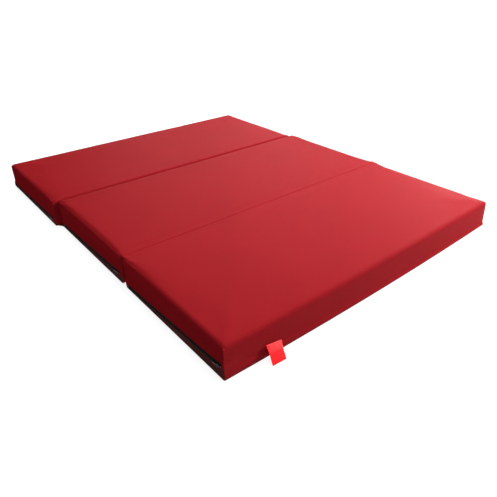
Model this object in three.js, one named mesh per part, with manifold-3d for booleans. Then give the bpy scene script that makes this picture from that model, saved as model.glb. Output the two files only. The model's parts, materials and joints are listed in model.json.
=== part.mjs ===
// A tri-fold futon mattress: three foam blocks in zipped fabric covers, joined by two fabric hinges, so that
// it lies flat as a bed or folds in a zigzag into a stack.
//
// Millimetres, +Z up. The origin is on the floor, under the middle of the flat mattress. X runs along the
// width, with the zipped ends at -X. Y runs from the front edge, which carries the label tab, to the rear.

import * as THREE from "three";
import { mergeVertices } from "three/addons/utils/BufferGeometryUtils.js";
import Module from "manifold-3d";

const wasm = await Module();
wasm.setup();

// The three blocks
const width = 1500;
const blockDepth = 632;
const height = 130;
const foldGap = 2; // between two blocks, at the hinge line
const rearShift = -24; // the rear block lies askew by this much along X, in the slack of its hinge

// Fabric covers
const coverThickness = 2; // fabric and its backing
const touchGap = 0.3; // between two pieces that touch
const edgeRound = 14; // top edges round the outside
const baseRound = 6; // bottom edges round the outside
const cornerRound = 10; // upright corners
const hingeRound = 3; // the edge of a fold face that the hinge holds
const foldRound = 22; // the free edge of a fold face, at the base
const foldLean = 5; // a fold face leans back by this much at its free edge
const grooveRound = 9; // the same where the free edge is at the top, which the cover pulls sharper
const grooveLean = 2;
const topSeamDrop = 3; // the top panel's seam lies this far below the rounded edge
const cornerSeamInset = 3; // an upright seam lies this far behind the rounded corner or edge
const hingeStripWidth = 40;

// Zips, one along the left end of each block. Each climbs to the front: the middle of its teeth is this far
// above the floor at its front end and at its rear end.
const frontZipHeights = [50, 15];
const middleZipHeights = [42, 15];
const rearZipHeights = [32, 14];
const tapeWidth = 3; // of the tape that shows on each side of the teeth
const tapeThickness = 0.8;
const tapeRecess = 0.6; // the tape lies this far behind the cover's face
const chainWidth = 5;
const chainThickness = 2.6;
const stopLength = 4;
const sliderLength = 14;
const sliderWidth = 9.2;
const sliderPlate = 1.2;
const sliderGap = 0.4; // running clearance between the slider, the teeth and the tape
const sliderParking = 1.5; // between the closed slider and its stop
const pinRadius = 0.6;
const pinLift = 2.4; // the pull's pin above the slider's plate
const lugThickness = 1;
const eyeRadius = 1.8;
const pullWidth = 5;
const pullLength = 26;
const pullThickness = 1.4;

// Label tab on the front border
const tabWidth = 66;
const tabThickness = 1;
const tabFromLeft = 192; // middle of its top edge, from the left end
const tabTop = 48; // height of its sewn edge
const tabReach = 46; // how far it lies out over the floor
const tabSideStep = 14; // its loose end lies this far to the left of its sewn edge

const CURVE_STEPS = 4;
const ROUND_STEPS = 12;
const TAB_STEPS = 10;
const BEYOND = 10; // how far a cutting block runs past what it cuts

const crimsonFabric = { color: 0xa8303a, roughness: 0.75, metalness: 0 };
const baseFabric = { color: 0x37302d, roughness: 0.9, metalness: 0 };
const foam = { color: 0xe8dcb4, roughness: 0.95, metalness: 0 };
const zipTape = { color: 0x1a1214, roughness: 0.85, metalness: 0 };
const nylonTeeth = { color: 0x120d0e, roughness: 0.45, metalness: 0 };
const blackZinc = { color: 0x1c1a1a, roughness: 0.4, metalness: 0.8 };
const ribbon = { color: 0xe8262c, roughness: 0.5, metalness: 0 };

/** A closed geometry as a manifold solid. */
function solid(geometry) {
  const bare = geometry.clone();
  bare.deleteAttribute("normal");
  bare.deleteAttribute("uv");
  const merged = mergeVertices(bare, 1e-4);
  return new wasm.Manifold(
    new wasm.Mesh({
      numProp: 3,
      vertProperties: new Float32Array(merged.attributes.position.array),
      triVerts: new Uint32Array(merged.index.array),
    }),
  );
}

/** A named mesh from a manifold solid. */
function piece(name, manifold, finish) {
  const { vertProperties, triVerts } = manifold.getMesh();
  const geometry = new THREE.BufferGeometry();
  geometry.setAttribute("position", new THREE.BufferAttribute(vertProperties, 3));
  geometry.setIndex(new THREE.BufferAttribute(triVerts, 1));
  geometry.computeVertexNormals();
  const mesh = new THREE.Mesh(geometry, new THREE.MeshStandardMaterial(finish));
  mesh.name = name;
  return mesh;
}

/** An outline through corners, given anticlockwise as [across, up, rounding]. */
function roundedOutline(corners) {
  const shape = new THREE.Shape();
  corners.forEach(([across, up, round], i) => {
    const corner = new THREE.Vector2(across, up);
    const [before, after] = [-1, 1].map((step) => {
      const [x, y] = corners[(i + step + corners.length) % corners.length];
      const side = new THREE.Vector2(x, y).sub(corner);
      return side.setLength(Math.min(round, side.length() / 2)).add(corner);
    });
    if (i === 0) shape.moveTo(before.x, before.y);
    else shape.lineTo(before.x, before.y);
    if (round > 0) shape.quadraticCurveTo(corner.x, corner.y, after.x, after.y);
  });
  shape.closePath();
  return shape;
}

/** An outline extruded along an axis between two places on it. Along x the outline lies in (y, z), along y in
 * (x, z), and along z in (x, y). */
function prism(shape, axis, from, to) {
  const geometry = new THREE.ExtrudeGeometry(shape, {
    depth: to - from,
    bevelEnabled: false,
    curveSegments: CURVE_STEPS,
  });
  const [x, y, z] = [
    new THREE.Vector3(1, 0, 0),
    new THREE.Vector3(0, 1, 0),
    new THREE.Vector3(0, 0, 1),
  ];
  const turned = new THREE.Matrix4();
  if (axis === "x") turned.makeBasis(y, z, x).setPosition(from, 0, 0);
  if (axis === "y") turned.makeBasis(x, z, y.clone().negate()).setPosition(0, to, 0);
  if (axis === "z") turned.setPosition(0, 0, from);
  return solid(geometry.applyMatrix4(turned));
}

/** A plain block between two corners. */
function block([x0, y0, z0], [x1, y1, z1]) {
  const box = new THREE.BoxGeometry(x1 - x0, y1 - y0, z1 - z0);
  return solid(box.translate((x0 + x1) / 2, (y0 + y1) / 2, (z0 + z1) / 2));
}

/** The two corners of a fold face or an outer face, as [across, up, rounding], base first. */
function faceCorners(across, outward, hinge, inset) {
  const low = inset;
  const high = height - inset;
  const free = across - outward * (hinge === "base" ? grooveLean : foldLean);
  if (hinge === "top") {
    return [[free, low, foldRound - inset], [across, high, hingeRound]];
  }
  if (hinge === "base") {
    return [[across, low, hingeRound], [free, high, grooveRound - inset]];
  }
  return [[across, low, baseRound - inset], [across, high, edgeRound - inset]];
}

/** A block's outer form, or its foam where an inset is given, in the block's own place. */
function blockForm({ frontHinge, rearHinge }, inset) {
  const x = width / 2 - inset;
  const y = blockDepth / 2 - inset;
  const [frontBase, frontTop] = faceCorners(-y, -1, frontHinge, inset);
  const [rearBase, rearTop] = faceCorners(y, 1, rearHinge, inset);
  const [leftBase, leftTop] = faceCorners(-x, -1, null, inset);
  const [rightBase, rightTop] = faceCorners(x, 1, null, inset);
  const upright = cornerRound - inset;
  const plan = [[-x, -y, upright], [x, -y, upright], [x, y, upright], [-x, y, upright]];
  const sideOutline = roundedOutline([frontBase, rearBase, rearTop, frontTop]);
  const endOutline = roundedOutline([leftBase, rightBase, rightTop, leftTop]);
  return prism(sideOutline, "x", -x - BEYOND, x + BEYOND)
    .intersect(prism(endOutline, "y", -y - BEYOND, y + BEYOND))
    .intersect(prism(roundedOutline(plan), "z", -BEYOND, height + BEYOND));
}

// Heights and places that the panels share
const topSeam = height - edgeRound - topSeamDrop;
const borderLow = coverThickness + touchGap; // borders stand on the flat base panel
const borderHigh = topSeam - touchGap;
const zipHalf = chainWidth / 2 + touchGap + tapeWidth + touchGap;
const stripHalf = hingeStripWidth / 2;
const halfX = width / 2 + BEYOND;
const halfY = blockDepth / 2 + BEYOND;

/** Where the top or base panel stops on one side: at the hinge strip, or past the block's edge. */
function panelEnd(hinge, level) {
  return hinge === level ? blockDepth / 2 + foldGap / 2 - stripHalf - touchGap : halfY;
}

/** How far from the block's middle the upright seam lies, on the side with the given hinge or none. */
function uprightSeam(hinge) {
  const rounding = hinge ? foldRound + foldLean : cornerRound;
  return blockDepth / 2 - rounding - cornerSeamInset;
}

/** The top panel with its rounded edges, or the flat base panel. */
function coverPanel(shell, spec, level) {
  const front = -panelEnd(spec.frontHinge, level);
  const rear = panelEnd(spec.rearHinge, level);
  const [low, high] = level === "top" ? [topSeam, height + BEYOND] : [-BEYOND, coverThickness];
  return shell.intersect(block([-halfX, front, low], [halfX, rear, high]));
}

/** The border along the front or rear of a block, with the two upright corners. Beside the top hinge strip
 * it reaches right up to the strip. */
function longBorder(shell, side, hinge) {
  const zone = (inner, low, high) => {
    const [y0, y1] = side < 0 ? [-halfY, -inner] : [inner, halfY];
    return block([-halfX, y0, low], [halfX, y1, high]);
  };
  const wall = zone(uprightSeam(hinge), borderLow, borderHigh);
  if (hinge !== "top") return shell.intersect(wall);
  const underStrip = blockDepth / 2 + foldGap / 2 - stripHalf;
  const wing = zone(underStrip, borderHigh - touchGap, height - coverThickness - touchGap);
  return shell.intersect(wall.add(wing));
}

/** A border across an end of a block, between two upright seams. Its lower and upper edges each have a
 * height at the front and one at the rear. */
function endBorder(shell, side, [y0, y1], low, high) {
  const [x0, x1] = side < 0 ? [-halfX, -width / 4] : [width / 4, halfX];
  const zone = roundedOutline([
    [y0, low[0], 0],
    [y1, low[1], 0],
    [y1, high[1], 0],
    [y0, high[0], 0],
  ]);
  return shell.intersect(prism(zone, "x", x0, x1));
}

/** How a zip slopes: its tilt, the height of its middle at the block's middle, and its own length, with its
 * corners kept between the upright seams. */
function zipSlope([y0, y1], [z0, z1]) {
  const tilt = Math.atan2(z1 - z0, y1 - y0);
  const spared = zipHalf * Math.abs(Math.sin(tilt));
  const along = [y0 + spared, y1 - spared].map((y) => y / Math.cos(tilt));
  return { tilt, middleZ: z0 - y0 * Math.tan(tilt), along, rim: zipHalf / Math.cos(tilt) };
}

/** The tapes, teeth and end stops of one zip between two places along it, in the zip's own place: outward is
 * -X, from the cover's face. */
function zipParts(name, [y0, y1]) {
  const tape = (low) => {
    const back = tapeRecess + tapeThickness;
    return block([tapeRecess, y0, low], [back, y1, low + tapeWidth]);
  };
  const toothBack = tapeRecess + tapeThickness;
  const toothFace = toothBack - chainThickness;
  const half = chainWidth / 2;
  const teeth = roundedOutline([
    [toothFace, -half, chainThickness / 2],
    [toothBack, -half, 0],
    [toothBack, half, 0],
    [toothFace, half, chainThickness / 2],
  ]);
  const stopped = stopLength + touchGap;
  const stop = (y) => block([toothFace, y, -half], [toothBack, y + stopLength, half]);
  return [
    piece(`${name}_zip_tape_upper`, tape(half + touchGap), zipTape),
    piece(`${name}_zip_tape_lower`, tape(-half - touchGap - tapeWidth), zipTape),
    piece(`${name}_zip_teeth`, prism(teeth, "y", y0 + stopped, y1 - stopped), nylonTeeth),
    piece(`${name}_zip_stop_front`, stop(y0), blackZinc),
    piece(`${name}_zip_stop_rear`, stop(y1 - stopLength), blackZinc),
  ];
}

// Places across the zip, outward as -X from the cover's face, that the slider and its pull share
const toothCrest = tapeRecess + tapeThickness - chainThickness;
const plateBack = toothCrest - sliderGap;
const plateFace = plateBack - sliderPlate;
const pinX = plateFace - pinLift;

/** A round bar along Z in the zip's own place. */
function pinBar(radius, halfLength) {
  const bar = new THREE.CylinderGeometry(radius, radius, 2 * halfLength, ROUND_STEPS);
  return solid(bar.rotateX(Math.PI / 2).translate(pinX, 0, 0));
}

/** The slider: a plate over the teeth, a cheek down each side of them, and two lugs with the pull's pin. */
function zipSlider() {
  const y = sliderLength / 2;
  const z = sliderWidth / 2;
  const nose = 0.45 * sliderWidth;
  const outline = roundedOutline([[-y, -z, 2], [y, -z, nose], [y, z, nose], [-y, z, 2]]);
  const cheekIn = chainWidth / 2 + sliderGap;
  const cheek = (low) => {
    const face = [plateBack - sliderPlate / 2, -y / 2, low];
    return block(face, [tapeRecess - sliderGap, y / 2, low + z - cheekIn]);
  };
  const lugIn = pullWidth / 2 + touchGap;
  const lug = (low) => {
    const top = pinX - eyeRadius;
    return block([top, -eyeRadius, low], [plateFace + sliderPlate / 2, eyeRadius, low + lugThickness]);
  };
  return prism(outline, "x", plateFace, plateBack)
    .add(cheek(cheekIn))
    .add(cheek(-z))
    .add(lug(lugIn))
    .add(lug(-lugIn - lugThickness))
    .add(pinBar(pinRadius, lugIn + lugThickness / 2));
}

/** The pull: an eye round the pin and a rounded tag lying back along the teeth. */
function zipPull() {
  const half = pullThickness / 2;
  const tag = roundedOutline([
    [0, -pullWidth / 2, 0],
    [pullLength, -pullWidth / 2, pullWidth / 2],
    [pullLength, pullWidth / 2, pullWidth / 2],
    [0, pullWidth / 2, 0],
  ]);
  return prism(tag, "x", pinX - half, pinX + half)
    .add(pinBar(eyeRadius, pullWidth / 2))
    .subtract(pinBar(pinRadius + touchGap, pullWidth));
}

/** One covered block with its foam and its zip. */
function blockGroup(spec) {
  const { name } = spec;
  const shell = blockForm(spec, 0).subtract(blockForm(spec, coverThickness));
  const between = [
    touchGap - uprightSeam(spec.frontHinge),
    uprightSeam(spec.rearHinge) - touchGap,
  ];
  const { tilt, middleZ, along, rim } = zipSlope(between, spec.zipHeights);
  const overZip = spec.zipHeights.map((z) => z + rim);
  const underZip = spec.zipHeights.map((z) => z - rim);
  const [low, high] = [borderLow, borderHigh].map((z) => [z, z]);
  const group = new THREE.Group();
  group.position.set(spec.shiftX, spec.middleY, 0);
  const zip = new THREE.Group();
  zip.position.set(-width / 2, 0, middleZ);
  zip.rotation.x = tilt;
  const slider = new THREE.Group();
  slider.position.y = along[0] + stopLength + sliderParking + sliderLength / 2;
  slider.add(
    piece(`${name}_zip_slider`, zipSlider(), blackZinc),
    piece(`${name}_zip_pull`, zipPull(), blackZinc),
  );
  zip.add(...zipParts(name, along), slider);
  group.add(
    piece(`${name}_foam_core`, blockForm(spec, coverThickness + touchGap), foam),
    piece(`${name}_top_panel`, coverPanel(shell, spec, "top"), crimsonFabric),
    piece(`${name}_base_panel`, coverPanel(shell, spec, "base"), baseFabric),
    piece(`${name}_border_front`, longBorder(shell, -1, spec.frontHinge), crimsonFabric),
    piece(`${name}_border_rear`, longBorder(shell, 1, spec.rearHinge), crimsonFabric),
    piece(`${name}_border_right`, endBorder(shell, 1, between, low, high), crimsonFabric),
    piece(`${name}_border_left_upper`, endBorder(shell, -1, between, overZip, high), crimsonFabric),
    piece(`${name}_border_left_lower`, endBorder(shell, -1, between, low, underZip), baseFabric),
    zip,
  );
  return group;
}

/** A hinge strip over a fold, flush with the panels it joins, from one block's place to the next's. */
function hingeStrip(lineY, frontShift, rearShiftX, low) {
  const x = (width - edgeRound) / 2;
  const [y0, y1] = [lineY - stripHalf, lineY + stripHalf];
  const strip = roundedOutline([
    [frontShift - x, y0, 0],
    [frontShift + x, y0, 0],
    [rearShiftX + x, y1, 0],
    [rearShiftX - x, y1, 0],
  ]);
  return prism(strip, "z", low, low + coverThickness);
}

/** The label tab: a ribbon that hangs from its sewn edge, bends out and lies down on the floor. */
function labelTab(frontY) {
  const wall = frontY - touchGap - tabThickness;
  const path = new THREE.CubicBezierCurve(
    new THREE.Vector2(wall, tabTop),
    new THREE.Vector2(wall - tabReach / 4, tabTop / 2),
    new THREE.Vector2(wall - tabReach / 2, tabThickness),
    new THREE.Vector2(wall - tabReach, tabThickness),
  );
  const face = [];
  const back = [];
  for (let i = 0; i <= TAB_STEPS; i += 1) {
    const at = path.getPointAt(i / TAB_STEPS);
    const along = path.getTangentAt(i / TAB_STEPS);
    const off = new THREE.Vector2(-along.y, along.x).multiplyScalar(tabThickness / 2);
    face.push(at.clone().add(off));
    back.unshift(at.clone().sub(off));
  }
  const left = -width / 2 + tabFromLeft - tabWidth / 2;
  const outline = new THREE.Shape([...face, ...back]);
  const lean = new THREE.Matrix4();
  lean.elements[8] = tabSideStep / tabTop;
  lean.elements[12] = -tabSideStep;
  return prism(outline, "x", left, left + tabWidth).transform(lean.elements);
}

const pitch = blockDepth + foldGap;
const blocks = [
  {
    name: "front",
    middleY: -pitch,
    shiftX: 0,
    frontHinge: null,
    rearHinge: "top",
    zipHeights: frontZipHeights,
  },
  {
    name: "middle",
    middleY: 0,
    shiftX: 0,
    frontHinge: "top",
    rearHinge: "base",
    zipHeights: middleZipHeights,
  },
  {
    name: "rear",
    middleY: pitch,
    shiftX: rearShift,
    frontHinge: "base",
    rearHinge: null,
    zipHeights: rearZipHeights,
  },
];

const mattress = new THREE.Group();
mattress.add(...blocks.map(blockGroup));
mattress.add(
  piece("top_hinge_strip", hingeStrip(-pitch / 2, 0, 0, height - coverThickness), crimsonFabric),
  piece("bottom_hinge_strip", hingeStrip(pitch / 2, 0, rearShift, 0), baseFabric),
  piece("label_tab", labelTab(-pitch - blockDepth / 2), ribbon),
);

export default mattress;
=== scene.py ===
"""A tri-fold futon mattress: three padded blocks in zipped covers, two fabric hinges and a ribbon tab.

Metres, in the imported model's own frame: X across the width with the zipped ends at -X, Y from the front
edge to the rear, Z up from the floor.
"""

import json
import logging
import math
from dataclasses import dataclass, field
from enum import Enum
from typing import Callable

import bmesh
import bpy
import numpy as np
from mathutils import Matrix, Quaternion, Vector, noise

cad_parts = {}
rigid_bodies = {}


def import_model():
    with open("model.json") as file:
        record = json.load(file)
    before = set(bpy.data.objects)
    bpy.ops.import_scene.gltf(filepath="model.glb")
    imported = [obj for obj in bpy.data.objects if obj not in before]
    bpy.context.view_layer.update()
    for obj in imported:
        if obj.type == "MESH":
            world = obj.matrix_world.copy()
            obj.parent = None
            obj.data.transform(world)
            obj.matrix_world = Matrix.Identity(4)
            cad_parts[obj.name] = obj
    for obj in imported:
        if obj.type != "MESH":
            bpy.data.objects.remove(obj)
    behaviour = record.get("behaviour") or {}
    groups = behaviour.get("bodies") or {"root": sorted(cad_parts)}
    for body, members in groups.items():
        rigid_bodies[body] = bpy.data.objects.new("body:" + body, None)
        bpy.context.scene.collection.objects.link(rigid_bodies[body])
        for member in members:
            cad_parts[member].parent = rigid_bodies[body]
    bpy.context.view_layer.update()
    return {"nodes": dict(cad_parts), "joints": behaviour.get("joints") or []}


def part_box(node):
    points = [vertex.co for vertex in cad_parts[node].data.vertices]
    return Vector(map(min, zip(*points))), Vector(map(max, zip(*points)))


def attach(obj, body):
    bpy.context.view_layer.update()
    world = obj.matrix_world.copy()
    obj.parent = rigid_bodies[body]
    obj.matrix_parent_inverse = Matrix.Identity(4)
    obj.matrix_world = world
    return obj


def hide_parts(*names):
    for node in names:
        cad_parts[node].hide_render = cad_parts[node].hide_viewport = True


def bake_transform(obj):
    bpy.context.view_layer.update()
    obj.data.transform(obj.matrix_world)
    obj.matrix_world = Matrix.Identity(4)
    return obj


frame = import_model()
LOG = logging.getLogger("futon")
MM = 0.001
Pair = tuple[float, float]
Triple = tuple[float, float, float]


class Hinge(Enum):
    """Where a fold face is hinged to its neighbour."""

    NONE = "none"
    TOP = "top"
    BASE = "base"


class Side(Enum):
    """The six sides of a block, in the order that its faces are made."""

    BASE = 0
    TOP = 1
    FRONT = 2
    REAR = 3
    LEFT = 4
    RIGHT = 5


# ---------------------------------------------------------------------------------------------------------
# Nodes and finishes
# ---------------------------------------------------------------------------------------------------------


def linear(colour: str) -> tuple[float, float, float, float]:
    """Turns an sRGB hex colour to linear light.

    Args:
        colour: Six hex digits, such as "a8303a".

    Returns:
        Red, green, blue and an alpha of 1.
    """
    parts = [int(colour[i : i + 2], 16) / 255 for i in (0, 2, 4)]
    light = [c / 12.92 if c <= 0.04045 else ((c + 0.055) / 1.055) ** 2.4 for c in parts]
    return (*light, 1.0)


def add_node(
    tree: bpy.types.NodeTree, kind: str, inputs: dict | None = None, **settings: str | bool
) -> bpy.types.Node:
    """Adds a node with its settings, its constants and its links.

    Args:
        tree: The tree that gets the node.
        kind: The node's type, such as "ShaderNodeBump".
        inputs: Input name or number to a constant, or to the socket that feeds it.
        **settings: Properties of the node.

    Returns:
        The new node.
    """
    node = tree.nodes.new(kind)
    for key, value in settings.items():
        setattr(node, key, value)
    for key, value in (inputs or {}).items():
        if isinstance(value, bpy.types.NodeSocket):
            tree.links.new(value, node.inputs[key])
        else:
            node.inputs[key].default_value = value
    return node


def new_material(name: str) -> tuple[bpy.types.Material, bpy.types.NodeTree]:
    """Makes an empty node material.

    Args:
        name: The finish's common name.

    Returns:
        The material and its tree.
    """
    material = bpy.data.materials.new(name)
    material.use_nodes = True
    material.node_tree.nodes.clear()
    return material, material.node_tree


# nearly all of a noise texture's values lie between these
NOISE_SPAN = {"From Min": 0.3, "From Max": 0.7}


@dataclass(frozen=True)
class WovenCloth:
    """A woven cloth, with threads that cross at right angles and a soft mottle in its dye.

    Attributes:
        name: Its common name.
        colour: Its colour where the threads stand up.
        shade: Its colour where the dye is deeper, also used as painted shade between the threads.
        thread: Distance from one thread to the next.
        relief: Height of the threads.
        roughness: Its mean roughness.
        sheen: Strength of the light that its nap catches at low angles.
        sheen_tint: Colour of that light.
        mottle: Most that the dye's clouds deepen the colour, from 0 to 1.
        slack: Height of the small waves in the cloth.
        gloss: Strength of its reflections, where 0.5 is a smooth plastic's.
        gloss_tint: Colour of its reflections.
    """

    name: str
    colour: str
    shade: str
    thread: float
    relief: float
    roughness: float = 0.8
    sheen: float = 0.3
    sheen_tint: str = "ffffff"
    mottle: float = 0.25
    slack: float = 0.15 * MM
    gloss: float = 0.1
    gloss_tint: str = "ffffff"

    def build(self) -> bpy.types.Material:
        """Makes the material.

        Returns:
            A material on the piece's own UV map, which is in metres.
        """
        material, tree = new_material(self.name)
        uv = add_node(tree, "ShaderNodeTexCoord").outputs["UV"]
        place = add_node(tree, "ShaderNodeTexCoord").outputs["Object"]
        # a wave texture's bands repeat every 0.314 / scale
        scale = 0.314 / self.thread
        weave = {"Vector": uv, "Scale": scale, "Distortion": 0.6, "Detail": 1.0, "Detail Scale": 0.4}
        warp = add_node(tree, "ShaderNodeTexWave", weave, bands_direction="X")
        weft = add_node(tree, "ShaderNodeTexWave", weave, bands_direction="Y")
        crossing = {0: warp.outputs["Fac"], 1: weft.outputs["Fac"]}
        threads = add_node(tree, "ShaderNodeMath", crossing, operation="MULTIPLY")
        clouds = {"Vector": place, "Scale": 5.0, "Detail": 4.0, "Roughness": 0.55}
        cloud = add_node(tree, "ShaderNodeTexNoise", clouds)
        slubs = {"Vector": uv, "Scale": 220.0, "Detail": 3.0, "Roughness": 0.6}
        slub = add_node(tree, "ShaderNodeTexNoise", slubs)
        dyed = {"Value": cloud.outputs["Fac"], **NOISE_SPAN, "To Max": self.mottle}
        dye = add_node(tree, "ShaderNodeMapRange", dyed)
        grained = {"Value": slub.outputs["Fac"], **NOISE_SPAN, "To Max": 0.35}
        grain = add_node(tree, "ShaderNodeMapRange", grained)
        # painted shade: the colour deepens between the threads, where the weave's hollows lie
        painted_pit_shade_range = {"Value": threads.outputs[0], "To Min": 0.30, "To Max": 0.0}
        painted_pit_shade = add_node(tree, "ShaderNodeMapRange", painted_pit_shade_range)
        dark = add_node(tree, "ShaderNodeMath", {0: dye.outputs[0], 1: grain.outputs[0]}, operation="ADD")
        sums = {0: dark.outputs[0], 1: painted_pit_shade.outputs[0]}
        darker = add_node(tree, "ShaderNodeMath", sums, operation="ADD", use_clamp=True)
        dyes = {0: darker.outputs[0], 6: linear(self.colour), 7: linear(self.shade)}
        colour = add_node(tree, "ShaderNodeMix", dyes, data_type="RGBA")
        rough = add_node(tree, "ShaderNodeMapRange", {
            "Value": slub.outputs["Fac"],
            **NOISE_SPAN,
            "To Min": self.roughness - 0.06,
            "To Max": self.roughness + 0.06,
        })
        soft = add_node(tree, "ShaderNodeTexNoise", {"Vector": place, "Scale": 38.0, "Detail": 2.0})
        slack = {"Height": soft.outputs["Fac"], "Distance": self.slack, "Strength": 1.0}
        give = add_node(tree, "ShaderNodeBump", slack)
        bump = add_node(tree, "ShaderNodeBump", {
            "Height": threads.outputs[0],
            "Distance": self.relief,
            "Strength": 0.8,
            "Normal": give.outputs["Normal"],
        })
        surface = add_node(tree, "ShaderNodeBsdfPrincipled", {
            "Base Color": colour.outputs[2],
            "Roughness": rough.outputs[0],
            "Normal": bump.outputs["Normal"],
            "IOR": 1.46,
            "Specular IOR Level": self.gloss,
            "Specular Tint": linear(self.gloss_tint),
            "Sheen Weight": self.sheen,
            "Sheen Roughness": 0.45,
            "Sheen Tint": linear(self.sheen_tint),
        })
        add_node(tree, "ShaderNodeOutputMaterial", {"Surface": surface.outputs["BSDF"]})
        return material


@dataclass(frozen=True)
class OpenCellFoam:
    """Cut polyurethane foam: pale, dull and full of small open cells.

    Attributes:
        name: Its common name.
        colour: Its colour between the cells.
        shade: Its colour where it has aged, also used as painted shade inside the cells.
        cell: Size of one cell, coarser than the real one so that it shows.
    """

    name: str = "polyurethane_foam"
    colour: str = "e9dcb0"
    shade: str = "b59c62"
    cell: float = 1.4 * MM

    def build(self) -> bpy.types.Material:
        """Makes the material.

        Returns:
            A material on Object coordinates.
        """
        material, tree = new_material(self.name)
        place = add_node(tree, "ShaderNodeTexCoord").outputs["Object"]
        cells = add_node(tree, "ShaderNodeTexVoronoi", {"Vector": place, "Scale": 1 / self.cell})
        cloud = add_node(tree, "ShaderNodeTexNoise", {"Vector": place, "Scale": 9.0, "Detail": 3.0})
        # painted shade: the colour deepens inside each open cell, where the hollow lies
        painted_pit_shade_range = {"Value": cells.outputs["Distance"], "From Max": 0.6, "To Min": 0.7, "To Max": 0.0}
        painted_pit_shade = add_node(tree, "ShaderNodeMapRange", painted_pit_shade_range)
        aged = {"Value": cloud.outputs["Fac"], "From Min": 0.35, "From Max": 0.7, "To Max": 0.3}
        age = add_node(tree, "ShaderNodeMapRange", aged)
        sums = {0: painted_pit_shade.outputs[0], 1: age.outputs[0]}
        both = add_node(tree, "ShaderNodeMath", sums, operation="ADD", use_clamp=True)
        tints = {0: both.outputs[0], 6: linear(self.colour), 7: linear(self.shade)}
        colour = add_node(tree, "ShaderNodeMix", tints, data_type="RGBA")
        pores = {"Height": cells.outputs["Distance"], "Distance": 0.5 * MM, "Strength": 0.9}
        bump = add_node(tree, "ShaderNodeBump", pores)
        surface = add_node(tree, "ShaderNodeBsdfPrincipled", {
            "Base Color": colour.outputs[2],
            "Roughness": 0.95,
            "Normal": bump.outputs["Normal"],
            "IOR": 1.5,
        })
        add_node(tree, "ShaderNodeOutputMaterial", {"Surface": surface.outputs["BSDF"]})
        return material


@dataclass(frozen=True)
class SmoothSolid:
    """A cast, moulded or spun surface with a fine grain and rubbed spots: painted zinc, nylon or thread.

    Attributes:
        name: Its common name.
        colour: Its colour.
        worn: Its colour where it is rubbed.
        roughness: Its mean roughness.
        grain: Size of its grain.
        coat: Strength of the clear coat over it.
        gloss: Strength of its reflections, where 0.5 is a smooth plastic's.
    """

    name: str
    colour: str
    worn: str
    roughness: float
    grain: float = 0.5 * MM
    coat: float = 0.0
    gloss: float = 0.5

    def build(self) -> bpy.types.Material:
        """Makes the material.

        Returns:
            A material on Object coordinates.
        """
        material, tree = new_material(self.name)
        place = add_node(tree, "ShaderNodeTexCoord").outputs["Object"]
        grains = {"Vector": place, "Scale": 1 / self.grain, "Detail": 3.0}
        fine = add_node(tree, "ShaderNodeTexNoise", grains)
        patches = {"Vector": place, "Scale": 160.0, "Detail": 4.0, "Roughness": 0.7}
        wide = add_node(tree, "ShaderNodeTexNoise", patches)
        rubbed = {"Value": wide.outputs["Fac"], "From Min": 0.5, "From Max": 0.75, "To Max": 0.6}
        wear = add_node(tree, "ShaderNodeMapRange", rubbed)
        tints = {0: wear.outputs[0], 6: linear(self.colour), 7: linear(self.worn)}
        colour = add_node(tree, "ShaderNodeMix", tints, data_type="RGBA")
        rough = add_node(tree, "ShaderNodeMapRange", {
            "Value": fine.outputs["Fac"],
            **NOISE_SPAN,
            "To Min": self.roughness - 0.08,
            "To Max": self.roughness + 0.08,
        })
        rise = {"Height": fine.outputs["Fac"], "Distance": 0.03 * MM, "Strength": 0.6}
        bump = add_node(tree, "ShaderNodeBump", rise)
        surface = add_node(tree, "ShaderNodeBsdfPrincipled", {
            "Base Color": colour.outputs[2],
            "Roughness": rough.outputs[0],
            "Specular IOR Level": self.gloss,
            "Normal": bump.outputs["Normal"],
            "Coat Weight": self.coat,
            "Coat Roughness": 0.3,
        })
        add_node(tree, "ShaderNodeOutputMaterial", {"Surface": surface.outputs["BSDF"]})
        return material


# The cover is brushed polyester microfibre: a tight, even cloth with a short nap, which gives it a dull
# face and a slight sheen at low angles. Its threads are 0.25 mm apart, drawn at 1.1 mm so that they show.
COVER_CLOTH = WovenCloth(
    "crimson_microfibre", "84141a", "5e0b10", thread=1.1 * MM, relief=0.12 * MM, roughness=0.62,
    sheen=0.035, sheen_tint="ff4a44", mottle=0.10, gloss=0.02, gloss_tint="ffb8b4",
)
# On the zipped end, which faces away from the lights, the same cloth is drawn darker and with no sheen or
# gloss: painted shade.
PAINTED_SHADE_END_CLOTH = WovenCloth(
    "crimson_microfibre_nap_down", "7b1218", "560a0e", thread=1.1 * MM, relief=0.12 * MM, roughness=0.8,
    sheen=0.0, sheen_tint="ff4a44", mottle=0.10, gloss=0.0,
)
# The base is a stiff non-slip polypropylene cloth, darker and coarser, with no nap and no shine. Its
# threads are about 0.6 mm apart, drawn at 1.8 mm.
BASE_CLOTH = WovenCloth(
    "dark_brown_base_cloth", "552422", "2c1211", thread=1.8 * MM, relief=0.22 * MM, roughness=0.9,
    sheen=0.02, sheen_tint="b06858", mottle=0.5, gloss=0.02,
)
# The tab is polyester satin ribbon, smoother and brighter than the cover. Its threads are about 0.2 mm
# apart, drawn at 0.8 mm.
SATIN_RIBBON = WovenCloth(
    "red_satin_ribbon", "ee1c20", "b80a10", thread=0.8 * MM, relief=0.08 * MM, roughness=0.42,
    sheen=0.35, sheen_tint="ffb0a8", mottle=0.2,
)
# Zip tape is a tightly woven polyester, nearly black and dull. Its threads are about 0.35 mm apart, drawn
# at 0.7 mm.
ZIP_TAPE = WovenCloth(
    "black_zip_tape", "120c0c", "060404", thread=0.7 * MM, relief=0.12 * MM, roughness=0.85,
    sheen=0.02, sheen_tint="806060", mottle=0.3, gloss=0.03,
)
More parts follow.
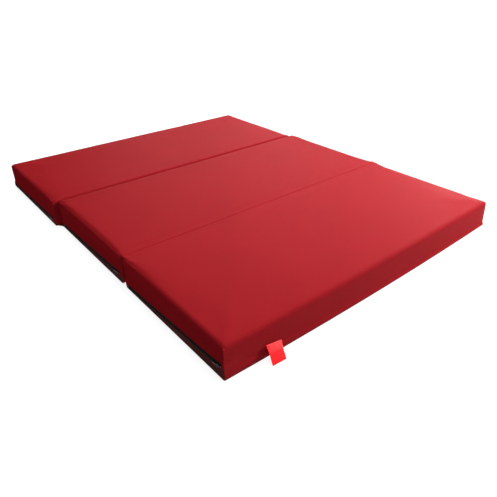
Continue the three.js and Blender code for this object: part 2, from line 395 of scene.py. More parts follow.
# Sewing thread is dyed to match the cover, with a slight lustre.
THREAD = SmoothSolid("crimson_sewing_thread", "701018", "8a1a22", roughness=0.55, grain=0.4 * MM)
# Coil teeth are drawn nylon, black and satin.
NYLON = SmoothSolid("black_nylon_coil", "0d0a0a", "1a1414", roughness=0.55, gloss=0.12)
# The slider is die-cast zinc, painted black and rubbed a little on its high spots.
BLACK_ZINC = SmoothSolid("black_painted_zinc", "0f0d0d", "2e2a28", roughness=0.45, coat=0.05, gloss=0.3)
FOAM = OpenCellFoam()


# ---------------------------------------------------------------------------------------------------------
# Mesh tools
# ---------------------------------------------------------------------------------------------------------


def smoothstep(t: np.ndarray) -> np.ndarray:
    """Rises smoothly from 0 to 1 as t does, and is flat outside."""
    t = np.clip(t, 0.0, 1.0)
    return t * t * (3 - 2 * t)


def bell(distance: np.ndarray, reach: float) -> np.ndarray:
    """Falls smoothly from 1 at no distance to 0 at reach."""
    return 1 - smoothstep(np.abs(distance) / reach)


def noise_at(points: np.ndarray, wavelength: float, seed: float) -> np.ndarray:
    """Smooth noise at points.

    Args:
        points: N by 3, in metres.
        wavelength: The size of one swell, in metres.
        seed: Moves the field, so that two uses differ.

    Returns:
        N values, about -1 to 1.
    """
    offset = Vector((seed, seed * 0.37, -seed))
    return np.array([noise.noise(Vector(p) / wavelength + offset) for p in points])


def placed(name: str, data: bpy.types.ID) -> bpy.types.Object:
    """Makes an object at the origin and links it to the scene.

    Args:
        name: Its name.
        data: The mesh, curve, light or camera that it shows.

    Returns:
        The new object.
    """
    piece = bpy.data.objects.new(name, data)
    bpy.context.scene.collection.objects.link(piece)
    return piece


def mesh_object(
    name: str, points: np.ndarray, faces: list[list[int]], uvs: np.ndarray | None = None
) -> bpy.types.Object:
    """Makes a smooth mesh object at the origin.

    Args:
        name: The piece's name.
        points: N by 3, in metres, in the shared frame.
        faces: Corner numbers of each face, outward.
        uvs: One UV per face corner, in metres, in the order of faces.

    Returns:
        The new object, linked to the scene.
    """
    mesh = bpy.data.meshes.new(name)
    mesh.from_pydata([tuple(p) for p in points], [], [tuple(f) for f in faces])
    if uvs is not None:
        layer = mesh.uv_layers.new(name="cloth")
        layer.data.foreach_set("uv", np.asarray(uvs, np.float32).ravel())
    mesh.polygons.foreach_set("use_smooth", [True] * len(mesh.polygons))
    mesh.update()
    return placed(name, mesh)


def spaced(
    low: float, high: float, steps: tuple[float, ...], cell: float, extra: tuple[float, ...] = ()
) -> np.ndarray:
    """Grid lines that are close together at both ends and even in between.

    Args:
        low: First line.
        high: Last line.
        steps: Distances of the close lines from each end.
        cell: Largest space between two lines.
        extra: Lines that must be there too.

    Returns:
        Sorted places of the lines.
    """
    fixed = {low, high, *extra}
    fixed |= {low + s for s in steps} | {high - s for s in steps}
    lines = sorted(round(v, 6) for v in fixed)
    out = [lines[0]]
    for line in lines[1:]:
        gap = line - out[-1]
        count = max(1, math.ceil(gap / cell))
        start = out[-1]
        out += [start + gap * i / count for i in range(1, count + 1)]
    return np.array(out)


def box_lattice(xs: np.ndarray, ys: np.ndarray, zs: np.ndarray) -> tuple[np.ndarray, np.ndarray, np.ndarray]:
    """The surface of a box as a closed grid of quads.

    Args:
        xs: Grid lines along X.
        ys: Grid lines along Y.
        zs: Grid lines along Z.

    Returns:
        Points, quads as point numbers, and the Side number of each quad.
    """
    nx, ny, nz = len(xs), len(ys), len(zs)
    inside = np.zeros((nx, ny, nz), bool)
    inside[1:-1, 1:-1, 1:-1] = True
    number = np.full((nx, ny, nz), -1)
    number[~inside] = np.arange((~inside).sum())
    grid = np.stack(np.meshgrid(xs, ys, zs, indexing="ij"), axis=-1)
    quads, sides = [], []
    for side, layer, flip in (
        (Side.BASE, number[:, :, 0], True),
        (Side.TOP, number[:, :, -1], False),
        (Side.FRONT, number[:, 0, :], False),
        (Side.REAR, number[:, -1, :], True),
        (Side.LEFT, number[0, :, :], True),
        (Side.RIGHT, number[-1, :, :], False),
    ):
        ring = [layer[:-1, :-1], layer[1:, :-1], layer[1:, 1:], layer[:-1, 1:]]
        if flip:
            ring = [ring[0], ring[3], ring[2], ring[1]]
        quads.append(np.stack([r.ravel() for r in ring], axis=-1))
        sides.append(np.full(len(quads[-1]), side.value))
    return grid[~inside], np.concatenate(quads), np.concatenate(sides)


def unfold(points: np.ndarray, quads: np.ndarray, sides: np.ndarray) -> np.ndarray:
    """UVs in metres, with each side of a box laid flat.

    Args:
        points: The lattice's points before any rounding.
        quads: Its quads.
        sides: The Side number of each quad.

    Returns:
        One UV per quad corner.
    """
    corner = points[quads]
    uv = np.empty((*quads.shape, 2))
    level = np.isin(sides, (Side.BASE.value, Side.TOP.value))
    long = np.isin(sides, (Side.FRONT.value, Side.REAR.value))
    end = ~(level | long)
    for chosen, axes in ((level, (0, 1)), (long, (0, 2)), (end, (1, 2))):
        uv[chosen] = corner[chosen][:, :, list(axes)]
    return uv.reshape(-1, 2)


def round_edge(
    points: np.ndarray, first: tuple[int, float, int], second: tuple[int, float, int], radius: float
) -> None:
    """Rounds the edge where two sides of a box meet, in place.

    Args:
        points: N by 3.
        first: Axis, place and inward direction (1 or -1) of one side.
        second: The same for the other side.
        radius: Radius of the rounding.
    """
    (a, place_a, in_a), (b, place_b, in_b) = first, second
    u = (points[:, a] - place_a) * in_a
    v = (points[:, b] - place_b) * in_b
    near = (u < radius - 1e-9) & (v < radius - 1e-9)
    du, dv = u[near] - radius, v[near] - radius
    reach = np.maximum(np.abs(du), np.abs(dv))
    scale = reach / np.maximum(np.hypot(du, dv), 1e-12)
    points[near, a] = place_a + in_a * (radius + du * scale)
    points[near, b] = place_b + in_b * (radius + dv * scale)


def slab(name: str, face: np.ndarray, thickness: float, flat: Pair) -> bpy.types.Object:
    """Makes a thin closed sheet from the grid of points on its outer face.

    Args:
        name: The piece's name.
        face: Rows by columns by 3. Columns crossed with rows point outward.
        thickness: How thick the sheet is, behind its face.
        flat: Its flat size along the columns and the rows, for its UV map.

    Returns:
        The new object.
    """
    rows, columns = face.shape[:2]
    along = np.gradient(face, axis=1)
    up = np.gradient(face, axis=0)
    normal = np.cross(along, up)
    normal /= np.linalg.norm(normal, axis=-1, keepdims=True)
    back = face - normal * thickness
    points = np.concatenate([face.reshape(-1, 3), back.reshape(-1, 3)])
    index = np.arange(rows * columns).reshape(rows, columns)
    ring = [index[:-1, :-1], index[:-1, 1:], index[1:, 1:], index[1:, :-1]]
    front = np.stack([r.ravel() for r in ring], axis=-1)
    rear = front[:, ::-1] + rows * columns
    rim = np.concatenate([index[0, :-1], index[:-1, -1], index[-1, :0:-1], index[:0:-1, 0]])
    after = np.roll(rim, -1)
    edge = np.stack([rim, rim + rows * columns, after + rows * columns, after], axis=-1)
    faces = np.concatenate([front, rear, edge])
    u, v = np.meshgrid(np.linspace(0, flat[0], columns), np.linspace(0, flat[1], rows))
    uv = np.stack([u.ravel(), v.ravel()], axis=-1)
    return mesh_object(name, points, faces.tolist(), np.concatenate([uv, uv])[faces].reshape(-1, 2))


def add_subdivision(piece: bpy.types.Object, levels: int = 1) -> None:
    """Smooths a piece with the same levels in the view and the render.

    Args:
        piece: The piece to smooth.
        levels: How often each face is divided.
    """
    modifier = piece.modifiers.new("smooth", "SUBSURF")
    modifier.levels = levels
    modifier.render_levels = levels


def joined(name: str, parts: list[bpy.types.Object]) -> bpy.types.Object:
    """Joins parts into one object with a new name.

    Args:
        name: The joined piece's name.
        parts: Objects to join. They are used up.

    Returns:
        The joined object.
    """
    with bpy.context.temp_override(active_object=parts[0], selected_editable_objects=parts):
        bpy.ops.object.join()
    parts[0].name = name
    parts[0].data.name = name
    return parts[0]


# ---------------------------------------------------------------------------------------------------------
# Geometry Nodes: rows of stitches and of zip teeth
# ---------------------------------------------------------------------------------------------------------


def path_object(name: str, points: np.ndarray) -> bpy.types.Object:
    """Makes a path of mesh edges, for a row of stitches or teeth to follow.

    Args:
        name: The path's name.
        points: Its points in order, N by 3.

    Returns:
        The new object.
    """
    mesh = bpy.data.meshes.new(name)
    mesh.from_pydata([tuple(p) for p in points], [(i, i + 1) for i in range(len(points) - 1)], [])
    return placed(name, mesh)


@dataclass
class BeadRow:
    """A Geometry Nodes tree that lays one rounded bead after another along a path.

    A bead is a stitch, a coil tooth, or anything else with round ends that repeats at an even pitch.

    Attributes:
        name: The tree's name.
        material: The finish of its beads.
        segments: Sides of one bead.
        rings: Steps along one bead.
        tree: The built tree.
        sockets: Each input's label to its identifier.
    """

    name: str
    material: bpy.types.Material
    segments: int = 6
    rings: int = 4
    tree: bpy.types.NodeTree = field(init=False)
    sockets: dict[str, str] = field(init=False, default_factory=dict)

    def __post_init__(self) -> None:
        """Builds the tree once, for every path that uses it."""
        self.tree = bpy.data.node_groups.new(self.name, "GeometryNodeTree")
        face = self.tree.interface
        face.new_socket(name="Geometry", in_out="INPUT", socket_type="NodeSocketGeometry")
        for label, kind in (
            ("Pitch", "NodeSocketFloat"),
            ("Bead size", "NodeSocketVector"),
            ("Offset", "NodeSocketVector"),
            ("Turn jitter", "NodeSocketFloat"),
        ):
            self.sockets[label] = face.new_socket(name=label, in_out="INPUT", socket_type=kind).identifier
        face.new_socket(name="Geometry", in_out="OUTPUT", socket_type="NodeSocketGeometry")
        tree = self.tree
        given = add_node(tree, "NodeGroupInput")
        curve = add_node(tree, "GeometryNodeMeshToCurve", {"Mesh": given.outputs["Geometry"]})
        spacing = {"Curve": curve.outputs["Curve"], "Length": given.outputs["Pitch"]}
        even = add_node(tree, "GeometryNodeResampleCurve", spacing, mode="LENGTH")
        tangent = add_node(tree, "GeometryNodeInputTangent")
        way = {"Vector": tangent.outputs["Tangent"]}
        aim = add_node(tree, "FunctionNodeAlignRotationToVector", way, axis="X")
        most = given.outputs["Turn jitter"]
        least = add_node(tree, "ShaderNodeMath", {0: most, 1: -1.0}, operation="MULTIPLY")
        # inputs 2 and 3 are the least and the most of a random number
        spread = {"Seed": 7, 2: least.outputs[0], 3: most}
        wobble = add_node(tree, "FunctionNodeRandomValue", spread, data_type="FLOAT")
        aside = {"Axis": (0, 0, 1), "Angle": wobble.outputs[1]}
        twist = add_node(tree, "FunctionNodeAxisAngleToRotation", aside)
        both = {"Rotation": aim.outputs[0], "Rotate By": twist.outputs[0]}
        turn = add_node(tree, "FunctionNodeRotateRotation", both, rotation_space="LOCAL")
        ball = {"Segments": self.segments, "Rings": self.rings, "Radius": 0.5}
        bead = add_node(tree, "GeometryNodeMeshUVSphere", ball)
        copies = add_node(tree, "GeometryNodeInstanceOnPoints", {
            "Points": even.outputs["Curve"],
            "Instance": bead.outputs["Mesh"],
            "Rotation": turn.outputs[0],
            "Scale": given.outputs["Bead size"],
        })
        moved = add_node(tree, "GeometryNodeTranslateInstances", {
            "Instances": copies.outputs["Instances"],
            "Translation": given.outputs["Offset"],
            "Local Space": False,
        })
        real = add_node(tree, "GeometryNodeRealizeInstances", {"Geometry": moved.outputs["Instances"]})
        smooth = add_node(tree, "GeometryNodeSetShadeSmooth", {"Geometry": real.outputs["Geometry"]})
        finish = {"Geometry": smooth.outputs[0], "Material": self.material}
        dressed = add_node(tree, "GeometryNodeSetMaterial", finish)
        add_node(tree, "NodeGroupOutput", {"Geometry": dressed.outputs["Geometry"]})

    def along(
        self,
        name: str,
        points: np.ndarray,
        pitch: float,
        size: Triple,
        offset: Triple = (0, 0, 0),
        jitter: float = 0.0,
    ) -> bpy.types.Object:
        """Lays a row along a path and turns it into a plain mesh.

        Args:
            name: The new piece's name.
            points: The path, N by 3, in metres.
            pitch: Distance from one bead to the next.
            size: Length, width and height of a bead.
            offset: Moves the whole row.
            jitter: Most that a bead turns aside, in radians.

        Returns:
            A plain mesh object with the row's beads.
        """
        path = path_object(f"{name}_path", points)
        modifier = path.modifiers.new("beads", "NODES")
        modifier.node_group = self.tree
        given = {"Pitch": pitch, "Bead size": size, "Offset": offset, "Turn jitter": jitter}
        for label, value in given.items():
            modifier[self.sockets[label]] = value
        graph = bpy.context.evaluated_depsgraph_get()
        mesh = bpy.data.meshes.new_from_object(path.evaluated_get(graph))
        mesh.name = name
        bpy.data.objects.remove(path)
        return placed(name, mesh)


# ---------------------------------------------------------------------------------------------------------
# The blocks
# ---------------------------------------------------------------------------------------------------------


@dataclass
class Finishes:
    """The built materials, shared by every sub-assembly."""

    cover: bpy.types.Material = field(default_factory=COVER_CLOTH.build)
    # the zipped end's cloth: a darker copy of the cover that paints shade on that end
    end: bpy.types.Material = field(default_factory=PAINTED_SHADE_END_CLOTH.build)
    base: bpy.types.Material = field(default_factory=BASE_CLOTH.build)
    ribbon: bpy.types.Material = field(default_factory=SATIN_RIBBON.build)
    tape: bpy.types.Material = field(default_factory=ZIP_TAPE.build)
    thread: bpy.types.Material = field(default_factory=THREAD.build)
    nylon: bpy.types.Material = field(default_factory=NYLON.build)
    zinc: bpy.types.Material = field(default_factory=BLACK_ZINC.build)
    foam: bpy.types.Material = field(default_factory=FOAM.build)


@dataclass
class ZipLine:
    """The sloping middle line of a block's zip, as its slider runs."""

    name: str

    def __post_init__(self) -> None:
        """Reads the slider's way and the pull's pin from the frame."""
        joints = {joint["name"]: joint for joint in frame["joints"]}
        self.along = Vector(joints[f"{self.name}_zip_run"]["axis"]).normalized()
        self.pin = Vector(joints[f"{self.name}_pull_flip"]["pos_m"])

    def height(self, y: np.ndarray | float) -> np.ndarray | float:
        """The line's height at a place along the block."""
        return self.pin.z + (y - self.pin.y) * self.along.z / self.along.y

    def turn(self) -> Matrix:
        """The turn that lays a level zip, made at the pin's height, along the line."""
        angle = math.atan2(self.along.z, self.along.y)
        there = Matrix.Translation(self.pin)
        return there @ Matrix.Rotation(angle, 4, "X") @ there.inverted()


@dataclass
class PaddedBlock:
    """One foam block in its fitted cover, with the cloth pushed out by the foam behind it.

    Attributes:
        name: "front", "middle" or "rear".
        front: Where its front side is hinged.
        rear: Where its rear side is hinged.
        finishes: The shared materials.
        top_round: Radius of the top edge on a free side.
        base_round: Radius of the foot on a free side.
        fold_round: Radius of the foot on a side hinged at the top.
        groove_round: Radius of the top edge on a side hinged at the base.
        groove_lean: How far a side hinged at the base leans back at its top.
        hinge_round: Radius of a hinged edge.
        fold_lean: How far a side hinged at the top leans back at its foot.
        upright_round: Radius of the upright edges.
        crisp_round: Radius of the left front upright edge, which is pulled tight.
        seam_depth: How deep a seam sinks.
        seam_half: Half of a seam's width.
        cell: Largest face of the grid.
        squeeze: How far the cover starts inside the foam, before it is blown out.
        swell: Most that it is blown out.
        front_bow: How far the front border bows out at its middle.
        tuck: Whether the right front corner has its tuck and its spread foot.
        tuck_depth: Depth of the tuck.
        tuck_ridge: Height of the ridge beside it.
        corner_spread: How far the foot of that corner spreads.
        shy_foot: How far the foot of the left front corner is drawn back.
        zip_half: Half of the height that the zip's slot leaves open.
        zip_slot: Depth of the zip's slot.
        hem: Height of the base cloth where it turns up.
        hinge_flat: Width of the top that is held flat beside a top hinge.
        hinge_fade: Width over which that hold fades.
        foam_inset: How far the foam lies inside the block's outline.
        foam_round: Radius of the foam's edges.
        last_frame: Length of the cloth simulation, in frames.
        low: Lowest corner of the block.
        high: Highest corner of the block.
    """

    name: str
    front: Hinge
    rear: Hinge
    finishes: Finishes
    top_round: float = 20 * MM
    base_round: float = 5 * MM
    fold_round: float = 24 * MM
    groove_round: float = 9 * MM
    groove_lean: float = 2 * MM
    hinge_round: float = 4 * MM
    fold_lean: float = 5 * MM
    upright_round: float = 12 * MM
    crisp_round: float = 5 * MM
    seam_depth: float = 0.9 * MM
    seam_half: float = 1.6 * MM
    cell: float = 17 * MM
    squeeze: float = 2.5 * MM
    swell: float = 3.2 * MM
    front_bow: float = 0.0
    tuck: bool = False
    tuck_depth: float = 5 * MM
    tuck_ridge: float = 1.5 * MM
    corner_spread: float = 19 * MM
    shy_foot: float = 0.0
    zip_half: float = 6.1 * MM
    zip_slot: float = 3.2 * MM
    hem: float = 4 * MM
    hinge_flat: float = 24 * MM
    hinge_fade: float = 40 * MM
    foam_inset: float = 9 * MM
    foam_round: float = 10 * MM
    last_frame: int = 20
    low: Vector = field(init=False)
    high: Vector = field(init=False)

    def __post_init__(self) -> None:
        """Reads the block's outer box and its seams from the frame."""
        top_low, top_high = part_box(f"{self.name}_top_panel")
        front_low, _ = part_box(f"{self.name}_border_front")
        _, rear_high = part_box(f"{self.name}_border_rear")
        self.low = Vector((top_low.x, front_low.y, 0.0))
        self.high = Vector((top_high.x, rear_high.y, top_high.z))
        self.top_seam = top_low.z
        lower_low, lower_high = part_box(f"{self.name}_border_left_lower")
        self.zip_front, self.zip_rear = lower_low.y, lower_high.y
        self.zip = ZipLine(self.name)
        middle_z = self.zip.height((self.zip_front + self.zip_rear) / 2)
        self.zip_low, self.zip_high = middle_z - self.zip_half, middle_z + self.zip_half
        self.base_seam = self.hem

    @property
    def body(self) -> str:
        """The CAD body that the block rides on."""
        return f"{self.name}_block"

    @property
    def folds(self) -> tuple[tuple[Hinge, float, int], ...]:
        """The front and the rear side: how each is hinged, its place and its inward direction."""
        return (self.front, self.low.y, 1), (self.rear, self.high.y, -1)

    def lattice(self) -> tuple[np.ndarray, np.ndarray, np.ndarray]:
        """The block's grid before rounding, with lines along its seams and its zip.

        Returns:
            Points, quads as point numbers, and the Side number of each quad.
        """
        ends = tuple(s * MM for s in (2.0, 4.5, 8.0, 12.0, 17.0, 24.0, 34.0))
        low, high, s = self.low, self.high, self.seam_half
        xs = spaced(low.x, high.x, ends, self.cell)
        zip_ends = (self.zip_front - s, self.zip_front, self.zip_rear, self.zip_rear + s)
        ys = spaced(low.y, high.y, ends, self.cell, zip_ends)
        seams = [self.base_seam + d for d in (-s, 0, s)] + [self.top_seam + d for d in (-s, 0, s)]
        zip_lines = [self.zip_low - s, self.zip_low, self.zip_high, self.zip_high + s]
        zs = spaced(0.0, high.z, (), 9 * MM, (*seams, *zip_lines, high.z - 8 * MM, high.z - 3 * MM))
        return box_lattice(xs, ys, zs)

    def shape(self, points: np.ndarray) -> None:
        """Rounds the edges and leans the fold faces back, in place.

        Args:
            points: The lattice's points.
        """
        low, high = self.low, self.high
        top, base = (2, high.z, -1), (2, 0.0, 1)
        flat = points.copy()
        self.slope_zip(points)
        over = {Hinge.NONE: self.top_round, Hinge.TOP: self.hinge_round, Hinge.BASE: self.groove_round}
        under = {Hinge.NONE: self.base_round, Hinge.TOP: self.fold_round, Hinge.BASE: self.hinge_round}
        for hinge, place, inward in self.folds:
            round_edge(points, (1, place, inward), top, over[hinge])
            round_edge(points, (1, place, inward), base, under[hinge])
        for face in ((0, low.x, 1), (0, high.x, -1)):
            round_edge(points, face, top, self.top_round)
            round_edge(points, face, base, self.base_round)
        for x_side in ((0, low.x, 1), (0, high.x, -1)):
            for y_side in ((1, low.y, 1), (1, high.y, -1)):
                crisp = x_side[2] > 0 and y_side[2] > 0
                round_edge(points, x_side, y_side, self.crisp_round if crisp else self.upright_round)
        for hinge, place, inward in self.folds:
            if hinge is not Hinge.NONE:
                fade = bell((flat[:, 1] - place) * inward, 80 * MM)
                points[:, 1] += inward * self.leaning(hinge, flat[:, 2]) * fade
        points[:, 1] += self.drawn_back(flat)

    def drawn_back(self, flat: np.ndarray) -> np.ndarray:
        """How far the foot of the left front corner is drawn back along Y.

        Args:
            flat: Points before rounding.

        Returns:
            A distance for each point, in metres.
        """
        ahead = np.clip(1 - (flat[:, 1] - self.low.y) / (self.zip_front - self.low.y), 0.0, 1.0)
        foot = (1 - np.clip(flat[:, 2] / self.high.z, 0.0, 1.0)) ** 1.2
        return self.shy_foot * foot * ahead * bell(flat[:, 0] - self.low.x, 70 * MM)

    def leaning(self, hinge: Hinge, z: np.ndarray) -> np.ndarray:
        """How far a fold face leans back at each height.

        Args:
            hinge: Where the face is hinged.
            z: The heights.

        Returns:
            A distance for each height, in metres.
        """
        height = np.clip(z / self.high.z, 0.0, 1.0)
        if hinge is Hinge.BASE:
            return self.groove_lean * height
        return self.fold_lean * (1 - height)

    def slope_zip(self, points: np.ndarray) -> None:
        """Slopes the grid lines beside the zip, on the left end only, in place.

        Args:
            points: The lattice's points.
        """
        margin = 1.5 * MM
        middle_z = (self.zip_low + self.zip_high) / 2
        below = (0.0, self.base_seam + 2 * MM, self.zip_low - margin)
        stops = (*below, self.zip_high + margin, self.top_seam - margin)
        share = np.interp(points[:, 2], stops, (0.0, 0.0, 1.0, 1.0, 0.0))
        near = bell(points[:, 0] - self.low.x, 50 * MM)
        ys = np.clip(points[:, 1], self.zip_front, self.zip_rear)
        points[:, 2] += (self.zip.height(ys) - middle_z) * share * near

    def outward(self, sides: np.ndarray, quads: np.ndarray, count: int) -> np.ndarray:
        """The mean outward direction of the box sides that meet at each point.

        Args:
            sides: The Side number of each quad.
            quads: The lattice's quads.
            count: How many points there are.

        Returns:
            One direction for each point, not of unit length.
        """
        ways = np.array([(0, 0, -1), (0, 0, 1), (0, -1, 0), (0, 1, 0), (-1, 0, 0), (1, 0, 0)], float)
        total = np.zeros((count, 3))
        for corner in range(4):
            np.add.at(total, quads[:, corner], ways[sides])
        return total / np.maximum(np.linalg.norm(total, axis=1, keepdims=True), 1e-9)

    def pinned(self, flat: np.ndarray) -> np.ndarray:
        """How firmly each point is held, from 0 to 1: the base, the hinged edges and the zip.

        Args:
            flat: The lattice's points before rounding.

        Returns:
            One weight for each point.
        """
        low, high = self.low, self.high
        hold = 1 - smoothstep((flat[:, 2] - 2 * MM) / (12 * MM))
        for hinge, place, _ in self.folds:
            if hinge is Hinge.TOP:
                face = 1 - smoothstep((np.abs(flat[:, 1] - place) - self.hinge_flat) / self.hinge_fade)
                hold = np.maximum(hold, face * smoothstep((flat[:, 2] - high.z + 50 * MM) / (40 * MM)))
            if hinge is not Hinge.NONE:
                hold = np.maximum(hold, 0.7 * bell(flat[:, 1] - place, 4 * MM))
        middle, half = (self.zip_low + self.zip_high) / 2, (self.zip_high - self.zip_low) / 2
        across = 1 - smoothstep((np.abs(flat[:, 2] - middle) - half) / (18 * MM))
        hold = np.maximum(hold, across * bell(flat[:, 0] - low.x, 8 * MM))
        return np.clip(hold, 0.0, 1.0)

    def inflate(self, piece: bpy.types.Object, hold: np.ndarray) -> np.ndarray:
        """Blows the cover out by cloth simulation and gives how far each point went.

        Args:
            piece: The cover, before it is smoothed.
            hold: How firmly each point is held.

        Returns:
            The move of each point, at most the block's swell.
        """
        rest = np.array([v.co for v in piece.data.vertices])
        group = piece.vertex_groups.new(name="held")
        for index, weight in enumerate(hold):
            if weight > 0:
                group.add([index], float(weight), "REPLACE")
        cloth = piece.modifiers.new("cloth", "CLOTH")
        cloth.settings.quality = 4
        cloth.settings.mass = 0.35
        cloth.settings.tension_stiffness = 25
        cloth.settings.compression_stiffness = 25
        cloth.settings.shear_stiffness = 12
        cloth.settings.bending_stiffness = 4
        cloth.settings.use_pressure = True
        cloth.settings.uniform_pressure_force = 4
        cloth.settings.vertex_group_mass = "held"
        cloth.settings.effector_weights.gravity = 0
        cloth.collision_settings.use_collision = False
        cloth.point_cache.frame_start = 1
        cloth.point_cache.frame_end = self.last_frame
        scene = bpy.context.scene
        for step in range(1, self.last_frame + 1):
            scene.frame_set(step)
        graph = bpy.context.evaluated_depsgraph_get()
        blown = piece.evaluated_get(graph).to_mesh()
        move = np.array([v.co for v in blown.vertices]) - rest
        piece.evaluated_get(graph).to_mesh_clear()
        piece.modifiers.remove(cloth)
        piece.vertex_groups.remove(group)
        scene.frame_set(1)
        length = np.linalg.norm(move, axis=1, keepdims=True)
        capped = self.swell * np.tanh(length / self.swell)
        return move / np.maximum(length, 1e-9) * capped

    def groove(self, flat: np.ndarray) -> np.ndarray:
        """How deep the seams and the zip's slot are at each point.

        Args:
            flat: The lattice's points before rounding.

        Returns:
            A depth for each point, in metres.
        """
        low, high = self.low, self.high
        touch = 1e-6
        rim = (flat[:, 2] > 1 * MM) & (flat[:, 2] < high.z - 1 * MM)
        near = np.abs(flat[:, 2] - self.top_seam) < 0.5 * MM
        near |= np.abs(flat[:, 2] - self.base_seam) < 0.5 * MM
        for place in (low.x, high.x):
            for line in (low.y, high.y):
                near |= (np.abs(flat[:, 0] - place) < touch) & (np.abs(flat[:, 1] - line) < touch)
        depth = np.where(near & rim, self.seam_depth, 0.0)
        slot = (np.abs(flat[:, 0] - low.x) < touch) & (flat[:, 2] > self.zip_low - touch)
        slot &= (flat[:, 2] < self.zip_high + touch) & (flat[:, 1] > self.zip_front - touch)
        slot &= flat[:, 1] < self.zip_rear + touch
        return np.where(slot, self.zip_slot, depth)

    def build(self) -> bpy.types.Object:
        """Makes the cover, as one closed cloth form.

        Returns:
            The cover, with its materials.
        """
        flat, quads, sides = self.lattice()
        uvs = unfold(flat, quads, sides)
        points = flat.copy()
        self.shape(points)
        out = self.outward(sides, quads, len(flat))
        hold = self.pinned(flat)
        points -= out * (self.squeeze * (1 - hold))[:, None]
        piece = mesh_object(f"{self.name}_cover", points, quads.tolist(), uvs)
        points += self.inflate(piece, hold)
        self.settle(points, flat, out, hold)
        piece.data.vertices.foreach_set("co", points.astype(np.float32).ravel())
        for finish in (self.finishes.cover, self.finishes.base, self.finishes.end):
            piece.data.materials.append(finish)
        piece.data.polygons.foreach_set("material_index", self.cloths(flat, quads, sides))
        piece.data.update()
        add_subdivision(piece)
        return piece

    def settle(self, points: np.ndarray, flat: np.ndarray, out: np.ndarray, hold: np.ndarray) -> None:
        """Adds the slack of the cloth, its seams and the bow of the front border, in place.

        Args:
            points: The cover's points after it is blown out.
            flat: The lattice's points before rounding.
            out: The outward direction at each point.
            hold: How firmly each point is held.
        """
        low, high = self.low, self.high
        loose = 1 - hold
        seam_gap = np.abs(flat[:, 2] - self.top_seam)
        edge_x = np.minimum(flat[:, 0] - low.x, high.x - flat[:, 0])
        edge_y = np.minimum(flat[:, 1] - low.y, high.y - flat[:, 1])
        inside = np.minimum(edge_x, edge_y)
        broad = noise_at(flat, 260 * MM, 3.1 + low.y) * 0.7 * MM
        gather = noise_at(flat * np.array((1, 1, 0.25)), 34 * MM, 9.7) * 0.8 * MM
        rim = bell(seam_gap + np.clip(inside, 0, None), 55 * MM)
        points += out * (loose * (broad + gather * rim))[:, None]
        if self.front_bow:
            span = (high.x - low.x) / 2
            middle = (high.x + low.x) / 2
            sag = 1 - ((flat[:, 0] - middle) / span) ** 2
            height = 0.45 + 0.55 * (1 - flat[:, 2] / high.z)
            points[:, 1] -= self.front_bow * sag * height * bell(flat[:, 1] - low.y, 160 * MM)
        if self.tuck:
            self.add_tuck(points, flat)
            self.sag_corner(points, flat)
        points -= out * self.groove(flat)[:, None]
        points[:, 2] = np.clip(points[:, 2], 0.2 * MM, high.z + 0.8 * MM)
        for hinge, place, inward in self.folds:
            if hinge is not Hinge.NONE:
                depth = (points[:, 1] - place) * inward
                least = 0.6 * self.leaning(hinge, points[:, 2])
                points[:, 1] += inward * np.maximum(least - depth, 0.0)

    def add_tuck(self, points: np.ndarray, flat: np.ndarray) -> None:
        """Presses a short tuck into the top edge beside the right front corner, in place.

        Args:
            points: The cover's points.
            flat: The lattice's points before rounding.
        """
        high, low = self.high, self.low
        centre = np.array((high.x - 22 * MM, low.y + 62 * MM, high.z))
        away = flat - centre
        across = bell(away[:, 0] - 0.25 * away[:, 1], 14 * MM)
        along = bell(away[:, 1], 60 * MM)
        up = bell(away[:, 2], 30 * MM)
        points[:, 2] -= self.tuck_depth * across * along * up
        ridge = bell(away[:, 0] + 20 * MM - 0.25 * away[:, 1], 16 * MM)
        points[:, 2] += self.tuck_ridge * ridge * along * up

    def sag_corner(self, points: np.ndarray, flat: np.ndarray) -> None:
        """Lets the foot of the right front corner spread, as the foam is soft there, in place.

        Args:
            points: The cover's points.
            flat: The lattice's points before rounding.
        """
        high, low = self.high, self.low
        across = bell(high.x - flat[:, 0], 110 * MM)
        along = bell(flat[:, 1] - low.y, 170 * MM)
        foot = (1 - np.clip(flat[:, 2] / high.z, 0, 1)) ** 0.7
        points[:, 0] += self.corner_spread * across * along * foot

    def cloths(self, flat: np.ndarray, quads: np.ndarray, sides: np.ndarray) -> np.ndarray:
        """Which cloth each quad is: 0 for the cover, 1 for the base, 2 for the zipped end, whose darker
        cloth is painted shade.

        Args:
            flat: The lattice's points before rounding.
            quads: Its quads.
            sides: The Side number of each quad.

        Returns:
            One number for each quad.
        """
        height = flat[quads][:, :, 2].mean(axis=1)
        base = (sides == Side.BASE.value) | (height < self.base_seam)
        base |= (sides == Side.LEFT.value) & (height < self.zip_low)
        # the zipped end takes the darker copy of the cover: painted shade for the side away from the lights
        return np.where(base, 1, np.where(sides == Side.LEFT.value, 2, 0)).astype(np.int32)

